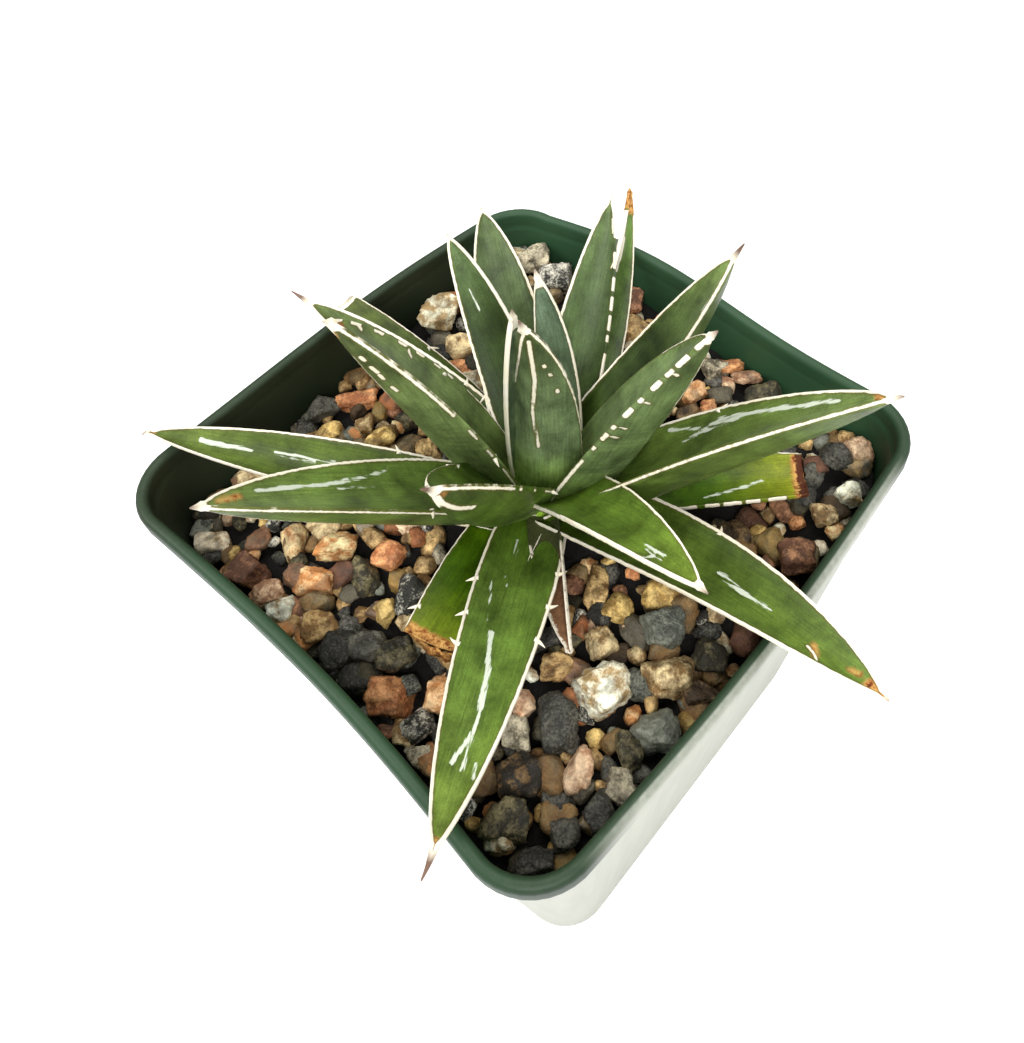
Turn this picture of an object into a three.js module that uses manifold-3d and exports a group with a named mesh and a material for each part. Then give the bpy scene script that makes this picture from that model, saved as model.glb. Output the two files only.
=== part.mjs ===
// A young Queen Victoria agave growing in a square plastic nursery pot filled with river gravel.
// Millimetres, +Z up. The origin is the middle of the pot's underside; the pot's sides run along X and Y.

import * as THREE from 'three';
import { mergeVertices } from 'three/addons/utils/BufferGeometryUtils.js';
import Module from 'manifold-3d';

// Pot
const POT_HEIGHT = 79;
const RIM_HALF = 44.5;
const BASE_HALF = 36.5;
const RIM_CORNER = 9.7;
const BASE_CORNER = 8.5;
const RIM_WIDTH = 2;
const RIM_DEPTH = 3.5;
const RIM_STEP = 0.5;
const WALL = 1.2;
const FLOOR = 1.6;
const EDGE_ROUND = 0.7;
const DRAIN_RADIUS = 4;
const DRAIN_PLACE = 23;
const SIDE_STEPS = 6;
const CORNER_STEPS = 4;

// The soft walls are pushed in and out between the corners, most at the rim: [bulge, sway] for each side.
const SIDE_BOWS = { right: [2.6, 1.3], back: [1.6, 0.3], left: [-1.7, 0.1], front: [1.4, 0] };

// Gravel: a bed with stones standing out of it, heaped up towards +X.
const SEAT_GAP = 0.3;
const BED_LEVEL = 67.5;
const STONE_RISE = 0.22;
const SLOPE_X = 0.07;
const SLOPE_Y = 0.02;
const STONE_TRIES = 420;
const CROWDING = 0.95;
const SMALLEST_STONE = 4;
const SMALL_STONE_SPREAD = 2.8;
const STONE_THICKNESS = 0.84;
const LEAF_CLEARANCE = 0.9;

// Stem
const STEM_CENTRE = [0.5, -2];
const STEM_RADIUS = 4;
const STEM_FOOT = 44;
const STEM_TOP = 71.5;
const STEM_END_SHARE = 0.6;
const STEM_ROOT_TAPER = 8;
const STEM_SHOULDER = 2.5;

// Leaf sections, as shares of the local half width unless they are in millimetres.
const LEAF_STEPS = 40;
const MARGIN_HALF_THICKNESS = 0.35;
const MIDDLE_THICKNESS_SHARE = 0.6;
const LEAST_KEEL = 0.4;
const ROOT_WIDTH_SHARE = 0.82;
const WIDEST_PLACE = 0.35;
const TAPER_POWERS = [2.6, 0.75];
const SPINE_RADIUS = 0.42;
const SPINE_END_SHARE = 0.75;
const SPINE_BASE = 0.3;
const TOOTH = { tip: 0.3, base: 0.6, length: 2, sunk: 0.7 };
const TOOTH_SPAN = [0.2, 0.35];
const STATIONS = [0, 0.1, 0.22, 0.36, 0.5, 0.64, 0.77, 0.88, 0.96];

// Each leaf: name, azimuth at the root and its sweep to the tip, rise at the root and at the tip, length,
// width, roll at the root and its twist to the tip (degrees and mm), root x, y, z, keel depth and channel
// depth as shares of the half width, the share of the length left by a cut, spine length, marginal teeth.
// The innermost leaf comes first, and each leaf is tucked under those before it.
const LEAVES = [
  ['bud_leaf_front', -159, -10, 113, 75.5, 38.5, 12, 6, -4, -1.9, -4.3, 71, 0.5, 0.25, 1, 1.5, 0],
  ['bud_leaf_back', 89, 1, 89, 94.5, 39.5, 8.8, -1, 2, 1.9, 1, 68.4, 0.5, 0.24, 1, 1, 0],
  ['bud_leaf_right', 24, 44, 56, 47.5, 34, 8.5, -16, -29, 4.4, -2.7, 68.5, 0.5, 0.3, 1, 1, 0],
  ['leaf_01', -166, 11, 54, 57, 39.5, 12.5, 0, 2, -1, -2.3, 72.2, 0.86, 0.35, 1, 2.5, 2],
  ['leaf_02', -62, -3, 67, 58.5, 46, 11.9, -6, 1, 2.6, -5.3, 71, 0.91, 0.31, 1, 1, 0],
  ['leaf_03', 139, 16, 76, 59, 48, 11.9, 7, -2, -2, 0.5, 71.6, 0.89, 0.34, 1, 0.5, 2],
  ['leaf_04', -103, 1, 52.5, 15, 42.3, 11.1, -6, -1, 0.3, -4, 71, 0.55, 0.28, 1, 1, 0],
  ['leaf_05', 60, 13, 43, 27, 41.3, 10.1, -33, -8, 3.3, -0.6, 71, 0.55, 0.26, 1, 0.5, 0],
  ['leaf_06', 50, 7, 35, 14, 47.8, 12.4, -4, 1, 2.4, 0.2, 70.5, 0.55, 0.26, 1, 0.5, 1],
  ['leaf_07', 23.5, 4, 29, 34.5, 47, 10.7, -14, 1.5, 3.5, -2, 70.4, 0.55, 0.24, 1, 0.5, 0],
  ['leaf_08', -23.5, -2, 43.5, 57, 46.3, 12.6, -18, 5, 3.2, -2.9, 70.7, 0.81, 0.3, 1, 2.5, 0],
  ['leaf_09', -58.5, -14, 46, 40, 57.8, 12.5, -14, 2, 1.8, -6.2, 69.8, 0.85, 0.33, 1, 1, 1],
  ['leaf_10', 162, 14.5, 44, 43.5, 54.2, 12.6, 5, -4.5, -2.7, -0.5, 70, 0.79, 0.31, 1, 1, 1],
  ['leaf_11', 96.5, 7, 33.5, 22.5, 45.2, 10.8, 10, 1, 1.1, 0.8, 70, 0.55, 0.26, 1, 3, 3],
  ['leaf_12', 16.5, 18, 5, 29, 57.3, 8.7, 45, 25, 3.4, -1.4, 69, 0.55, 0.22, 1, 0.5, 0],
  ['leaf_13', -82.5, -19.5, 21.5, 13, 57.7, 12.5, -2, 2, 1.1, -5, 69, 0.55, 0.25, 1, 0.5, 1],
  ['leaf_14', -149, 1.5, 11.5, 19.5, 55.3, 11.9, -6, 2, -1, -3.6, 69.2, 0.55, 0.24, 1, 3, 6],
  ['leaf_15', 126, -4.5, 21, 6, 58.4, 10.7, -1, 0, -3.7, -0.6, 67.8, 0.55, 0.22, 1, 1.5, 3],
  ['cut_leaf_back', 87.5, 6, 20.5, 10, 56.7, 10.3, 0, 0, 1.2, 0.9, 69, 0.55, 0.26, 0.8, 0, 2],
  ['cut_leaf_right', -50, -2, 10.5, 4, 54.8, 11.3, -5, 0.5, 2.3, -4, 68.5, 0.55, 0.25, 0.71, 0, 0],
  ['cut_leaf_front', -162.5, 2.5, 9, 3, 54, 11.8, -2.5, 0, -2.5, -1.5, 68.6, 0.55, 0.26, 0.5, 0, 3],
  ['dried_leaf', -130, 4, 4, -6, 24, 5.2, 12, 30, -1, -4.5, 70.5, 0.3, 0.6, 1, 0, 0],
];

// Stones that stand out by size or place: x, y, length, width, turn of the long side in degrees.
const STONES = [
  [-4, -30, 8, 7.5, 145], [-16, -30, 8.5, 7.5, 155], [-9, -35, 7.5, 7, 155], [-16, -39, 7, 6.5, 145],
  [-24, -28, 9, 6.5, 45], [-5, -19, 8, 4.5, 40], [-11, -25, 5.5, 5, 45], [0, -27, 6.5, 4.5, 135],
  [-37, -31, 8, 6.5, 135], [-40, -31, 5.5, 5, 45], [-32, -28, 7, 6.5, 135], [-26, -34, 7, 4.5, 30],
  [-28, -39, 6.5, 4.5, 35], [-18, -22, 6, 4.5, 120], [-28, -24, 6, 4, 45], [-3, -38, 6, 5.5, 45],
  [-8, -41, 5.5, 4.5, 135], [-20, -37, 6, 4.5, 45], [-24, -41, 5, 4.5, 45], [-33, -37, 5, 5, 135],
  [-38, -37, 6, 4.5, 135], [17, -39, 6.5, 6, 135], [-36, -7, 8, 7.5, 45], [-31, -12, 6.5, 5.5, 45],
  [-40, 25, 7, 6, 100], [-38, 19, 6.5, 4.5, 155], [-32, 15, 7.5, 5.5, 135], [-36, 9, 6.5, 5.5, 135],
  [-28, 3, 5.5, 4, 45], [-24, 2, 6.5, 5, 45], [-33, 1, 6, 5.5, 45], [-39, 4, 6.5, 6, 45],
  [-31, -3, 7, 5.5, 165], [-36, -13, 5.5, 5, 45], [-40, -12, 4.5, 4, 45], [-40, -16, 4.5, 3.5, 135],
  [-26, 17, 7.5, 6, 135], [-5, 36, 8.5, 4.5, 145], [-13, 35, 5, 4.5, 135], [-8, 31, 4.5, 4, 45],
  [-5, 18, 7, 4.5, 55], [17, 38, 8.5, 8, 135], [-11, 41, 7.5, 5, 155], [39, 34, 8, 6.5, 155],
  [37, 27, 7, 7, 135], [42, 12, 6.5, 5, 35], [34, 5, 5, 4.5, 135], [42, -10, 7, 3, 135],
  [41, -14, 5.5, 3, 135], [39, -19, 7.5, 5.5, 135], [32, -9, 4.5, 4.5, 135], [31, -13, 3.5, 3.5, 135],
  [40, -37, 5, 5, 135], [36, -34, 5.5, 5.5, 135], [31, -40, 5, 4.5, 135], [26, -38, 5, 4, 135],
];

const wasm = await Module();
wasm.setup();

const plant = new THREE.Group();
const degrees = THREE.MathUtils.degToRad;
const UP = new THREE.Vector3(0, 0, 1);

// A repeatable row of draws between 0 and 1.
function drawsFrom(start) {
  let seed = start;
  return () => {
    seed = (seed * 16807) % 2147483647;
    return seed / 2147483647;
  };
}

// --- Solids and meshes ------------------------------------------------------------------------

// A closed skin through rings of points, each counted anticlockwise seen from the last ring's side.
function skin(rings) {
  const count = rings[0].length;
  const profile = rings.map((ring, row) => new THREE.Vector2(1, row));
  const geometry = new THREE.LatheGeometry(profile, count);
  const position = geometry.attributes.position;
  for (let column = 0; column <= count; column++) {
    rings.forEach((ring, row) => {
      const point = ring[column % count];
      position.setXYZ(column * rings.length + row, point.x, point.y, point.z);
    });
  }
  return geometry;
}

// A skin with both ends closed flat, each end ring drawn together into its own middle.
function closedSkin(rings) {
  const shrunk = (ring) => {
    const middle = new THREE.Vector3();
    ring.forEach((point) => middle.addScaledVector(point, 1 / ring.length));
    return ring.map(() => middle);
  };
  return skin([shrunk(rings[0]), ...rings, shrunk(rings.at(-1))]);
}

// The manifold solid of a closed geometry, without the triangles that collapse at its poles.
function solidOf(geometry) {
  const bare = geometry.clone();
  bare.deleteAttribute('normal');
  bare.deleteAttribute('uv');
  const merged = mergeVertices(bare, 1e-3);
  const source = merged.index.array;
  const kept = [];
  for (let i = 0; i < source.length; i += 3) {
    const [a, b, c] = [source[i], source[i + 1], source[i + 2]];
    if (a !== b && b !== c && c !== a) kept.push(a, b, c);
  }
  const vertProperties = new Float32Array(merged.attributes.position.array);
  const triVerts = new Uint32Array(kept);
  return new wasm.Manifold(new wasm.Mesh({ numProp: 3, vertProperties, triVerts }));
}

// The largest of the bodies that a cut leaves.
function mainBody(solid) {
  const bodies = solid.decompose();
  return bodies.reduce((best, body) => (body.volume() > best.volume() ? body : best));
}

function addPiece(name, solid, color, roughness) {
  const mesh = solid.getMesh();
  const geometry = new THREE.BufferGeometry();
  geometry.setAttribute('position', new THREE.BufferAttribute(mesh.vertProperties, 3));
  geometry.setIndex(new THREE.BufferAttribute(mesh.triVerts, 1));
  geometry.computeVertexNormals();
  const material = new THREE.MeshStandardMaterial({ color, roughness, metalness: 0 });
  const piece = new THREE.Mesh(geometry, material);
  piece.name = name;
  plant.add(piece);
}

// --- Pot --------------------------------------------------------------------------------------

// How far a side stands out from straight, at a place from -1 to 1 between its corners.
function bowAt([bulge, sway], place) {
  return bulge * Math.cos(place * Math.PI / 2) + sway * Math.sin(place * Math.PI);
}

// One level of the pot: a square of the given half side with round corners and bowed sides.
function squareRing(half, corner, z) {
  const bowShare = z / POT_HEIGHT;
  const flat = half - corner;
  const { right, back, left, front } = SIDE_BOWS;
  const points = [];
  [[right, 1], [back, -1], [left, -1], [front, 1]].forEach(([bow, sense], quarter) => {
    const turn = quarter * Math.PI / 2;
    const place = (out, along) => new THREE.Vector3(out, along, z).applyAxisAngle(UP, turn);
    for (let i = 0; i <= SIDE_STEPS; i++) {
      const along = -1 + 2 * i / SIDE_STEPS;
      points.push(place(half + bowShare * bowAt(bow, sense * along), flat * along));
    }
    for (let i = 1; i < CORNER_STEPS; i++) {
      const angle = i / CORNER_STEPS * Math.PI / 2;
      points.push(place(flat + corner * Math.cos(angle), flat + corner * Math.sin(angle)));
    }
  });
  return points;
}

// The outer face of the wall below the rim.
function wallHalf(z) {
  return THREE.MathUtils.lerp(BASE_HALF, RIM_HALF - RIM_STEP, z / POT_HEIGHT);
}

function cornerAt(z) {
  return THREE.MathUtils.lerp(BASE_CORNER, RIM_CORNER, z / POT_HEIGHT);
}

function wallRing(z, inset) {
  return squareRing(wallHalf(z) - inset, cornerAt(z) - inset, z);
}

// The clear space inside the pot's straight walls, drawn in from them by a gap.
function insideSolid(foot, top, gap) {
  return solidOf(closedSkin([foot, POT_HEIGHT / 2, top].map((z) => wallRing(z, WALL + gap))));
}

function rimRing(z, inset) {
  return squareRing(RIM_HALF - inset, RIM_CORNER - inset, z);
}

// The outside of the pot, less its hollow and the drain holes.
function makePot() {
  const underRim = POT_HEIGHT - RIM_DEPTH;
  const outside = [
    wallRing(0, EDGE_ROUND),
    wallRing(EDGE_ROUND, 0),
    wallRing(POT_HEIGHT / 2, 0),
    wallRing(underRim, 0),
    rimRing(underRim + RIM_STEP, 0),
    rimRing(POT_HEIGHT - EDGE_ROUND, 0),
    rimRing(POT_HEIGHT, EDGE_ROUND),
  ];
  const hollow = [
    wallRing(FLOOR, WALL),
    wallRing(POT_HEIGHT / 2, WALL),
    wallRing(underRim, WALL),
    rimRing(POT_HEIGHT - EDGE_ROUND, RIM_WIDTH),
    rimRing(POT_HEIGHT, RIM_WIDTH - EDGE_ROUND),
    rimRing(POT_HEIGHT + EDGE_ROUND, RIM_WIDTH - EDGE_ROUND),
  ];
  let pot = solidOf(closedSkin(outside)).subtract(solidOf(closedSkin(hollow)));
  for (const [x, y] of [[1, 1], [-1, 1], [-1, -1], [1, -1]]) {
    const drain = new THREE.CylinderGeometry(DRAIN_RADIUS, DRAIN_RADIUS, 4 * FLOOR, 16);
    drain.rotateX(Math.PI / 2);
    drain.translate(x * DRAIN_PLACE, y * DRAIN_PLACE, 0);
    pot = pot.subtract(solidOf(drain));
  }
  return pot;
}

// --- Stem -------------------------------------------------------------------------------------

// The short woody stem, a blunt turned form that narrows to its root end.
function makeStem(grow) {
  const radius = STEM_RADIUS + grow;
  const foot = STEM_FOOT - grow;
  const top = STEM_TOP + grow;
  const profile = [
    new THREE.Vector2(0, foot),
    new THREE.Vector2(radius * STEM_END_SHARE, foot),
    new THREE.Vector2(radius, foot + STEM_ROOT_TAPER),
    new THREE.Vector2(radius, top - STEM_SHOULDER),
    new THREE.Vector2(radius * STEM_END_SHARE, top),
    new THREE.Vector2(0, top),
  ];
  const stem = new THREE.LatheGeometry(profile, 16);
  stem.rotateX(Math.PI / 2);
  stem.translate(STEM_CENTRE[0], STEM_CENTRE[1], 0);
  return solidOf(stem);
}

// --- Leaves -----------------------------------------------------------------------------------

// Names for one row of the leaf table.
function readLeaf(row) {
  const [name, azimuth, sweep, rise, tipRise, length, width, roll, twist, x, y, z] = row;
  const [keel, channel, left, spine, teeth] = row.slice(12);
  const course = { azimuth, sweep, rise, tipRise, roll, twist, root: new THREE.Vector3(x, y, z) };
  return { name, ...course, length, width, keel, channel, left, spine, teeth };
}

// Directions at a share of the leaf's length: along the leaf, across it and out of its upper face.
function leafFrame(leaf, share) {
  const azimuth = degrees(leaf.azimuth + leaf.sweep * share);
  const rise = degrees(leaf.rise + (leaf.tipRise - leaf.rise) * share);
  const level = Math.cos(rise);
  const along = new THREE.Vector3(level * Math.cos(azimuth), level * Math.sin(azimuth), Math.sin(rise));
  const across = new THREE.Vector3(Math.sin(azimuth), -Math.cos(azimuth), 0);
  across.applyAxisAngle(along, degrees(leaf.roll + leaf.twist * share));
  return { along, across, upper: new THREE.Vector3().crossVectors(across, along) };
}

// The leaf's middle line: small straight steps, each in the direction half way along it.
function middleLine(leaf) {
  const points = [leaf.root.clone()];
  for (let step = 0; step < LEAF_STEPS; step++) {
    const { along } = leafFrame(leaf, (step + 0.5) / LEAF_STEPS);
    points.push(points[step].clone().addScaledVector(along, leaf.length / LEAF_STEPS));
  }
  return points;
}

function pointOnLine(line, share) {
  const place = Math.min(share * LEAF_STEPS, LEAF_STEPS - 1e-6);
  const step = Math.floor(place);
  return line[step].clone().lerp(line[step + 1], place - step);
}

// Half the width at a share of the length: broad at the root, widest at a third, then drawn to a point.
function halfWidth(leaf, share) {
  const spread = Math.sin(Math.PI / 2 * Math.min(1, share / WIDEST_PLACE));
  const swell = ROOT_WIDTH_SHARE + (1 - ROOT_WIDTH_SHARE) * spread;
  const taper = Math.pow(1 - Math.pow(share, TAPER_POWERS[0]), TAPER_POWERS[1]);
  return Math.max(SPINE_RADIUS, leaf.width / 2 * swell * taper);
}

// One ring of the leaf's skin: a channelled upper face, thick margins and a keeled back.
function leafRing(leaf, line, share, half, grow, shift) {
  const { along, across, upper } = leafFrame(leaf, share);
  const centre = pointOnLine(line, share).addScaledVector(along, shift);
  const edge = MARGIN_HALF_THICKNESS + grow;
  const keel = Math.max(leaf.keel * half, LEAST_KEEL) + grow;
  const wing = leaf.channel * half;
  const wide = half + grow;
  const middleEdge = edge * MIDDLE_THICKNESS_SHARE;
  const face = (place) => THREE.MathUtils.lerp(middleEdge, wing + edge, place * place);
  const back = (place) => wing - (wing + keel) * (1 - Math.pow(Math.abs(place), 1.4));
  const section = [
    [-1, face(-1)], [0, face(0)], [1, face(1)], [1, wing - edge],
    [0.6, back(0.6) - edge / 2], [0, -keel], [-0.6, back(-0.6) - edge / 2], [-1, wing - edge],
  ];
  return section.map(([place, height]) =>
    centre.clone().addScaledVector(across, wide * place).addScaledVector(upper, height));
}

function leafBody(leaf, grow) {
  const line = leaf.line;
  const rings = STATIONS.filter((share) => share < leaf.left)
    .map((share) => leafRing(leaf, line, share, halfWidth(leaf, share), grow, share === 0 ? -grow : 0));
  if (leaf.left < 1) {
    rings.push(leafRing(leaf, line, leaf.left, halfWidth(leaf, leaf.left), grow, grow));
  } else {
    rings.push(leafRing(leaf, line, 1, SPINE_RADIUS, grow, 0));
    const reach = SPINE_BASE + leaf.spine + grow;
    rings.push(leafRing(leaf, line, 1, SPINE_RADIUS * SPINE_END_SHARE, grow, reach));
  }
  const body = solidOf(closedSkin(rings));
  return leaf.toothPlaces.reduce((whole, place) => whole.add(toothBody(leaf, place, grow)), body);
}

// Places for small teeth along the lower half of both margins: a share of the length, a side and a lean.
const toothDraw = drawsFrom(20211);
function toothPlaces(leaf) {
  const [first, spread] = TOOTH_SPAN;
  return Array.from({ length: leaf.teeth }, (unused, i) => {
    const share = first + spread * (i + toothDraw()) / leaf.teeth;
    return { share, side: i % 2 ? 1 : -1, lean: -0.4 + 0.8 * toothDraw() };
  });
}

function toothBody(leaf, { share, side, lean }, grow) {
  const half = halfWidth(leaf, share);
  const { along, across, upper } = leafFrame(leaf, share);
  const outward = across.clone().multiplyScalar(side).addScaledVector(along, lean).normalize();
  const { tip, base, length, sunk } = TOOTH;
  const tooth = new THREE.CylinderGeometry(tip + grow, base + grow, length + 2 * grow, 5);
  tooth.applyQuaternion(new THREE.Quaternion().setFromUnitVectors(new THREE.Vector3(0, 1, 0), outward));
  const seat = pointOnLine(leaf.line, share).addScaledVector(across, side * half)
    .addScaledVector(upper, leaf.channel * half).addScaledVector(outward, length / 2 - sunk);
  tooth.translate(seat.x, seat.y, seat.z);
  return solidOf(tooth);
}

// --- Gravel -----------------------------------------------------------------------------------

function slopeAt(x, y) {
  return SLOPE_X * x + SLOPE_Y * y;
}

// The named stones first, then smaller ones dropped between them wherever there is room.
function stonePlaces() {
  const draw = drawsFrom(4711);
  const places = STONES.map((row) => {
    const [x, y, length, width, turn] = row;
    return { x, y, length, width, turn, rise: STONE_RISE };
  });
  const reach = wallHalf(BED_LEVEL) - WALL;
  for (let tries = 0; tries < STONE_TRIES; tries++) {
    const stone = { x: reach * (2 * draw() - 1), y: reach * (2 * draw() - 1), small: true };
    stone.length = SMALLEST_STONE + SMALL_STONE_SPREAD * draw();
    stone.width = stone.length * (0.65 + 0.3 * draw());
    stone.turn = 180 * draw();
    stone.rise = STONE_RISE * draw();
    const blocked = places.some((other) =>
      Math.hypot(other.x - stone.x, other.y - stone.y) < CROWDING * (other.width + stone.width) / 2);
    if (!blocked) places.push(stone);
  }
  return places;
}

// The lowest underside of any leaf over a stone, with a gap below it.
function headroom(stone, leaves) {
  let room = Infinity;
  for (const leaf of leaves) {
    for (let share = 0; share <= leaf.left; share += 0.05) {
      const half = halfWidth(leaf, share);
      const point = pointOnLine(leaf.line, share);
      const near = Math.hypot(point.x - stone.x, point.y - stone.y) < half + stone.width / 2;
      if (near) room = Math.min(room, point.z - leaf.keel * half - LEAF_CLEARANCE);
    }
  }
  return room;
}

// A stone: a lumpy pebble of few faces, flatter than it is wide.
const lumpDraw = drawsFrom(90);
function stoneBody(stone, z) {
  const whole = stone.small ? new THREE.OctahedronGeometry(1.1, 0) : new THREE.IcosahedronGeometry(1, 0);
  const pebble = mergeVertices(whole.deleteAttribute('normal').deleteAttribute('uv'));
  const position = pebble.attributes.position;
  for (let i = 0; i < position.count; i++) {
    const lump = 0.98 + 0.16 * lumpDraw();
    position.setXYZ(i, position.getX(i) * lump, position.getY(i) * lump, position.getZ(i) * lump);
  }
  pebble.rotateX(lumpDraw() * 2);
  pebble.scale(stone.length / 2, stone.width / 2, stone.width * STONE_THICKNESS / 2);
  pebble.rotateZ(degrees(stone.turn));
  pebble.translate(stone.x, stone.y, z);
  return solidOf(pebble);
}

function makeGravel(leaves, keepOut) {
  const foot = FLOOR + SEAT_GAP;
  const rings = [wallRing(foot, WALL + SEAT_GAP), wallRing(BED_LEVEL, WALL - SEAT_GAP)];
  rings[1].forEach((point) => { point.z += slopeAt(point.x, point.y); });
  const bodies = [solidOf(closedSkin(rings))];
  for (const stone of stonePlaces()) {
    const bedHeight = BED_LEVEL + slopeAt(stone.x, stone.y);
    const z = Math.min(bedHeight + stone.rise * stone.width, headroom(stone, leaves) - stone.width * 0.46);
    if (z > bedHeight - stone.width * 0.3) bodies.push(stoneBody(stone, z));
  }
  const heap = wasm.Manifold.union(bodies);
  const kept = heap.intersect(insideSolid(foot, POT_HEIGHT - 1, SEAT_GAP));
  return keepOut.reduce((rest, solid) => rest.subtract(solid), kept);
}

// --- Assembly ---------------------------------------------------------------------------------

addPiece('pot', makePot(), '#2f4a39', 0.35);
addPiece('rosette_stem', makeStem(0), '#8a7a55', 0.8);

const leaves = LEAVES.map(readLeaf);
for (const leaf of leaves) {
  leaf.line = middleLine(leaf);
  leaf.toothPlaces = toothPlaces(leaf);
}
const claimed = [makeStem(SEAT_GAP)];
for (const leaf of leaves) {
  const tucked = claimed.reduce((rest, other) => rest.subtract(other), leafBody(leaf, 0));
  addPiece(leaf.name, mainBody(tucked), leaf.name === 'dried_leaf' ? '#7a5233' : '#3f6136', 0.5);
  claimed.push(leafBody(leaf, SEAT_GAP));
}

addPiece('gravel_bed', mainBody(makeGravel(leaves, claimed)), '#8d7a66', 0.85);

export default plant;
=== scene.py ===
# A young Queen Victoria agave in a square plastic nursery pot filled with river gravel.
# Sizes are written in millimetres and meshes are made in metres. The origin is the middle of the
# pot's underside, with +Z up and the pot's sides along X and Y.
import math
from collections import namedtuple
from functools import cache

import bmesh
import bpy
import numpy as np
from mathutils import Matrix


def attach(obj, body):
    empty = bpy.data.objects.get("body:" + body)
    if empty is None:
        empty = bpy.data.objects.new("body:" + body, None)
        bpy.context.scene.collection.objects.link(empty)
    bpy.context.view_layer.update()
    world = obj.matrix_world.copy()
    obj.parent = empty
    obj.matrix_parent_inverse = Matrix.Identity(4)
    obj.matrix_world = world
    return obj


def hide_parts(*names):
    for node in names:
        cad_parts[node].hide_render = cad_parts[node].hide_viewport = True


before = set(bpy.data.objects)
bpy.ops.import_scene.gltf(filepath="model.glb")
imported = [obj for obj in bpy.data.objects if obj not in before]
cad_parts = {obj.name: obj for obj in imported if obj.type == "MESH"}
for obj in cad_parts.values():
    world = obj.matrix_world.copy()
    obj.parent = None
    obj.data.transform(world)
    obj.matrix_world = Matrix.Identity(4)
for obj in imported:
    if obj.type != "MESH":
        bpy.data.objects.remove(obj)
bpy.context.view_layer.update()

# --- Pot ----------------------------------------------------------------------------------------
# A square nursery pot, injection moulded in thin polypropylene. Its soft walls bow between the
# corners, the rim is turned out into a thicker band, and the floor has four drain holes.

POT_HEIGHT = 79.0
RIM_HALF = 44.5
BASE_HALF = 36.5
RIM_CORNER = 9.7
BASE_CORNER = 8.5
RIM_WIDTH = 2.0
RIM_DEPTH = 3.5
RIM_STEP = 0.5
WALL = 1.2
FLOOR = 1.6
FOOT_ROUND = 0.9
DRAIN_RADIUS = 4.0
DRAIN_PLACE = 23.0
# How far each wall is pushed out at the rim, and its sideways sway: right, back, left, front.
SIDE_BOWS = [(2.6, 1.3), (1.6, -0.3), (-1.7, -0.1), (1.4, 0.0)]


def linear(hex_colour):
    """The sRGB hex value as linear light: c/12.92 when dark, else ((c + 0.055)/1.055)^2.4."""
    c = np.array([int(hex_colour[i:i + 2], 16) / 255 for i in (1, 3, 5)])
    c = np.where(c <= 0.04045, c / 12.92, ((c + 0.055) / 1.055) ** 2.4)
    return (*(float(v) for v in c), 1.0)


materials = []


def blank(name):
    """A node material, which the nodes after it belong to, and the place on its object for them."""
    material = bpy.data.materials.new(name)
    material.use_nodes = True
    material.node_tree.nodes.clear()
    materials.append(material)
    return material, add("TexCoord").outputs["Object"]


def add(kind, inputs=None, **settings):
    """Adds a node to the newest material. Inputs are values or outputs, by socket name or number."""
    tree = materials[-1].node_tree
    node = tree.nodes.new("ShaderNode" + kind)
    for name, value in settings.items():
        setattr(node, name, value)
    for name, value in (inputs or {}).items():
        if isinstance(value, bpy.types.NodeSocket):
            tree.links.new(value, node.inputs[name])
        else:
            node.inputs[name].default_value = value
    return node


def attribute(name, kind="Fac"):
    return add("Attribute", attribute_name=name).outputs[kind]


def noise(place, scale, detail, roughness=0.5, distortion=0.0):
    """Fractal noise from 0 to 1, with about one grain to each 1/scale of its place."""
    return add("TexNoise", {"Vector": place, "Scale": scale, "Detail": detail, "Roughness": roughness,
                            "Distortion": distortion}).outputs["Fac"]


def stretched(place, scale):
    """A place whose patterns are drawn out along each axis with a small scale."""
    return add("Mapping", {"Vector": place, "Scale": scale}).outputs[0]


def ramp(value, start, end, low=0.0, high=1.0):
    """low + (high − low)·(value − start)/(end − start), held at its ends."""
    return add("MapRange", {0: value, 1: start, 2: end, 3: low, 4: high}).outputs[0]


def times(first, second):
    return add("Math", {0: first, 1: second}, operation="MULTIPLY").outputs[0]


def plus(first, second):
    return add("Math", {0: first, 1: second}, operation="ADD").outputs[0]


def scaled(colour, amount):
    return add("VectorMath", {0: colour, "Scale": amount}, operation="SCALE").outputs[0]


def mixed(share, first, second):
    """The first colour turned into the second by a share. A colour is a hex value or an output."""
    first, second = (linear(c) if isinstance(c, str) else c for c in (first, second))
    return add("Mix", {0: share, 6: first, 7: second}, data_type="RGBA").outputs[2]


def bump(height, strength, depth, *under):
    """A relief of this depth in metres, laid over another if one is given."""
    inputs = {"Height": height, "Strength": strength, "Distance": depth}
    return add("Bump", inputs | {"Normal": relief for relief in under}).outputs[0]


def surface(colour, roughness, inputs):
    """Ends the newest material with its shading node, given any other inputs by name."""
    shine = add("BsdfPrincipled", {"Base Color": colour, "Roughness": roughness} | inputs)
    add("OutputMaterial", {0: shine.outputs[0]})


def skin(rings, start=None, end=None):
    """Points and faces of a tube through closed rings [row, place, xyz], with a point at an end if given.

    A ring runs anticlockwise as seen from the last ring, so that the faces point outwards."""
    rows, places = rings.shape[:2]
    grid = np.arange(rows * places).reshape(rows, places)
    after = np.roll(grid, -1, axis=1)
    faces = np.stack([grid[:-1], after[:-1], after[1:], grid[1:]], -1).reshape(-1, 4).tolist()
    points = [rings.reshape(-1, 3)]
    count = rows * places
    if start is not None:
        points.append(np.reshape(start, (1, 3)))
        faces += np.stack([np.full(places, count), after[0], grid[0]], -1).tolist()
        count += 1
    if end is not None:
        points.append(np.reshape(end, (1, 3)))
        faces += np.stack([np.full(places, count), grid[-1], after[-1]], -1).tolist()
    return np.concatenate(points), faces


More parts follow.
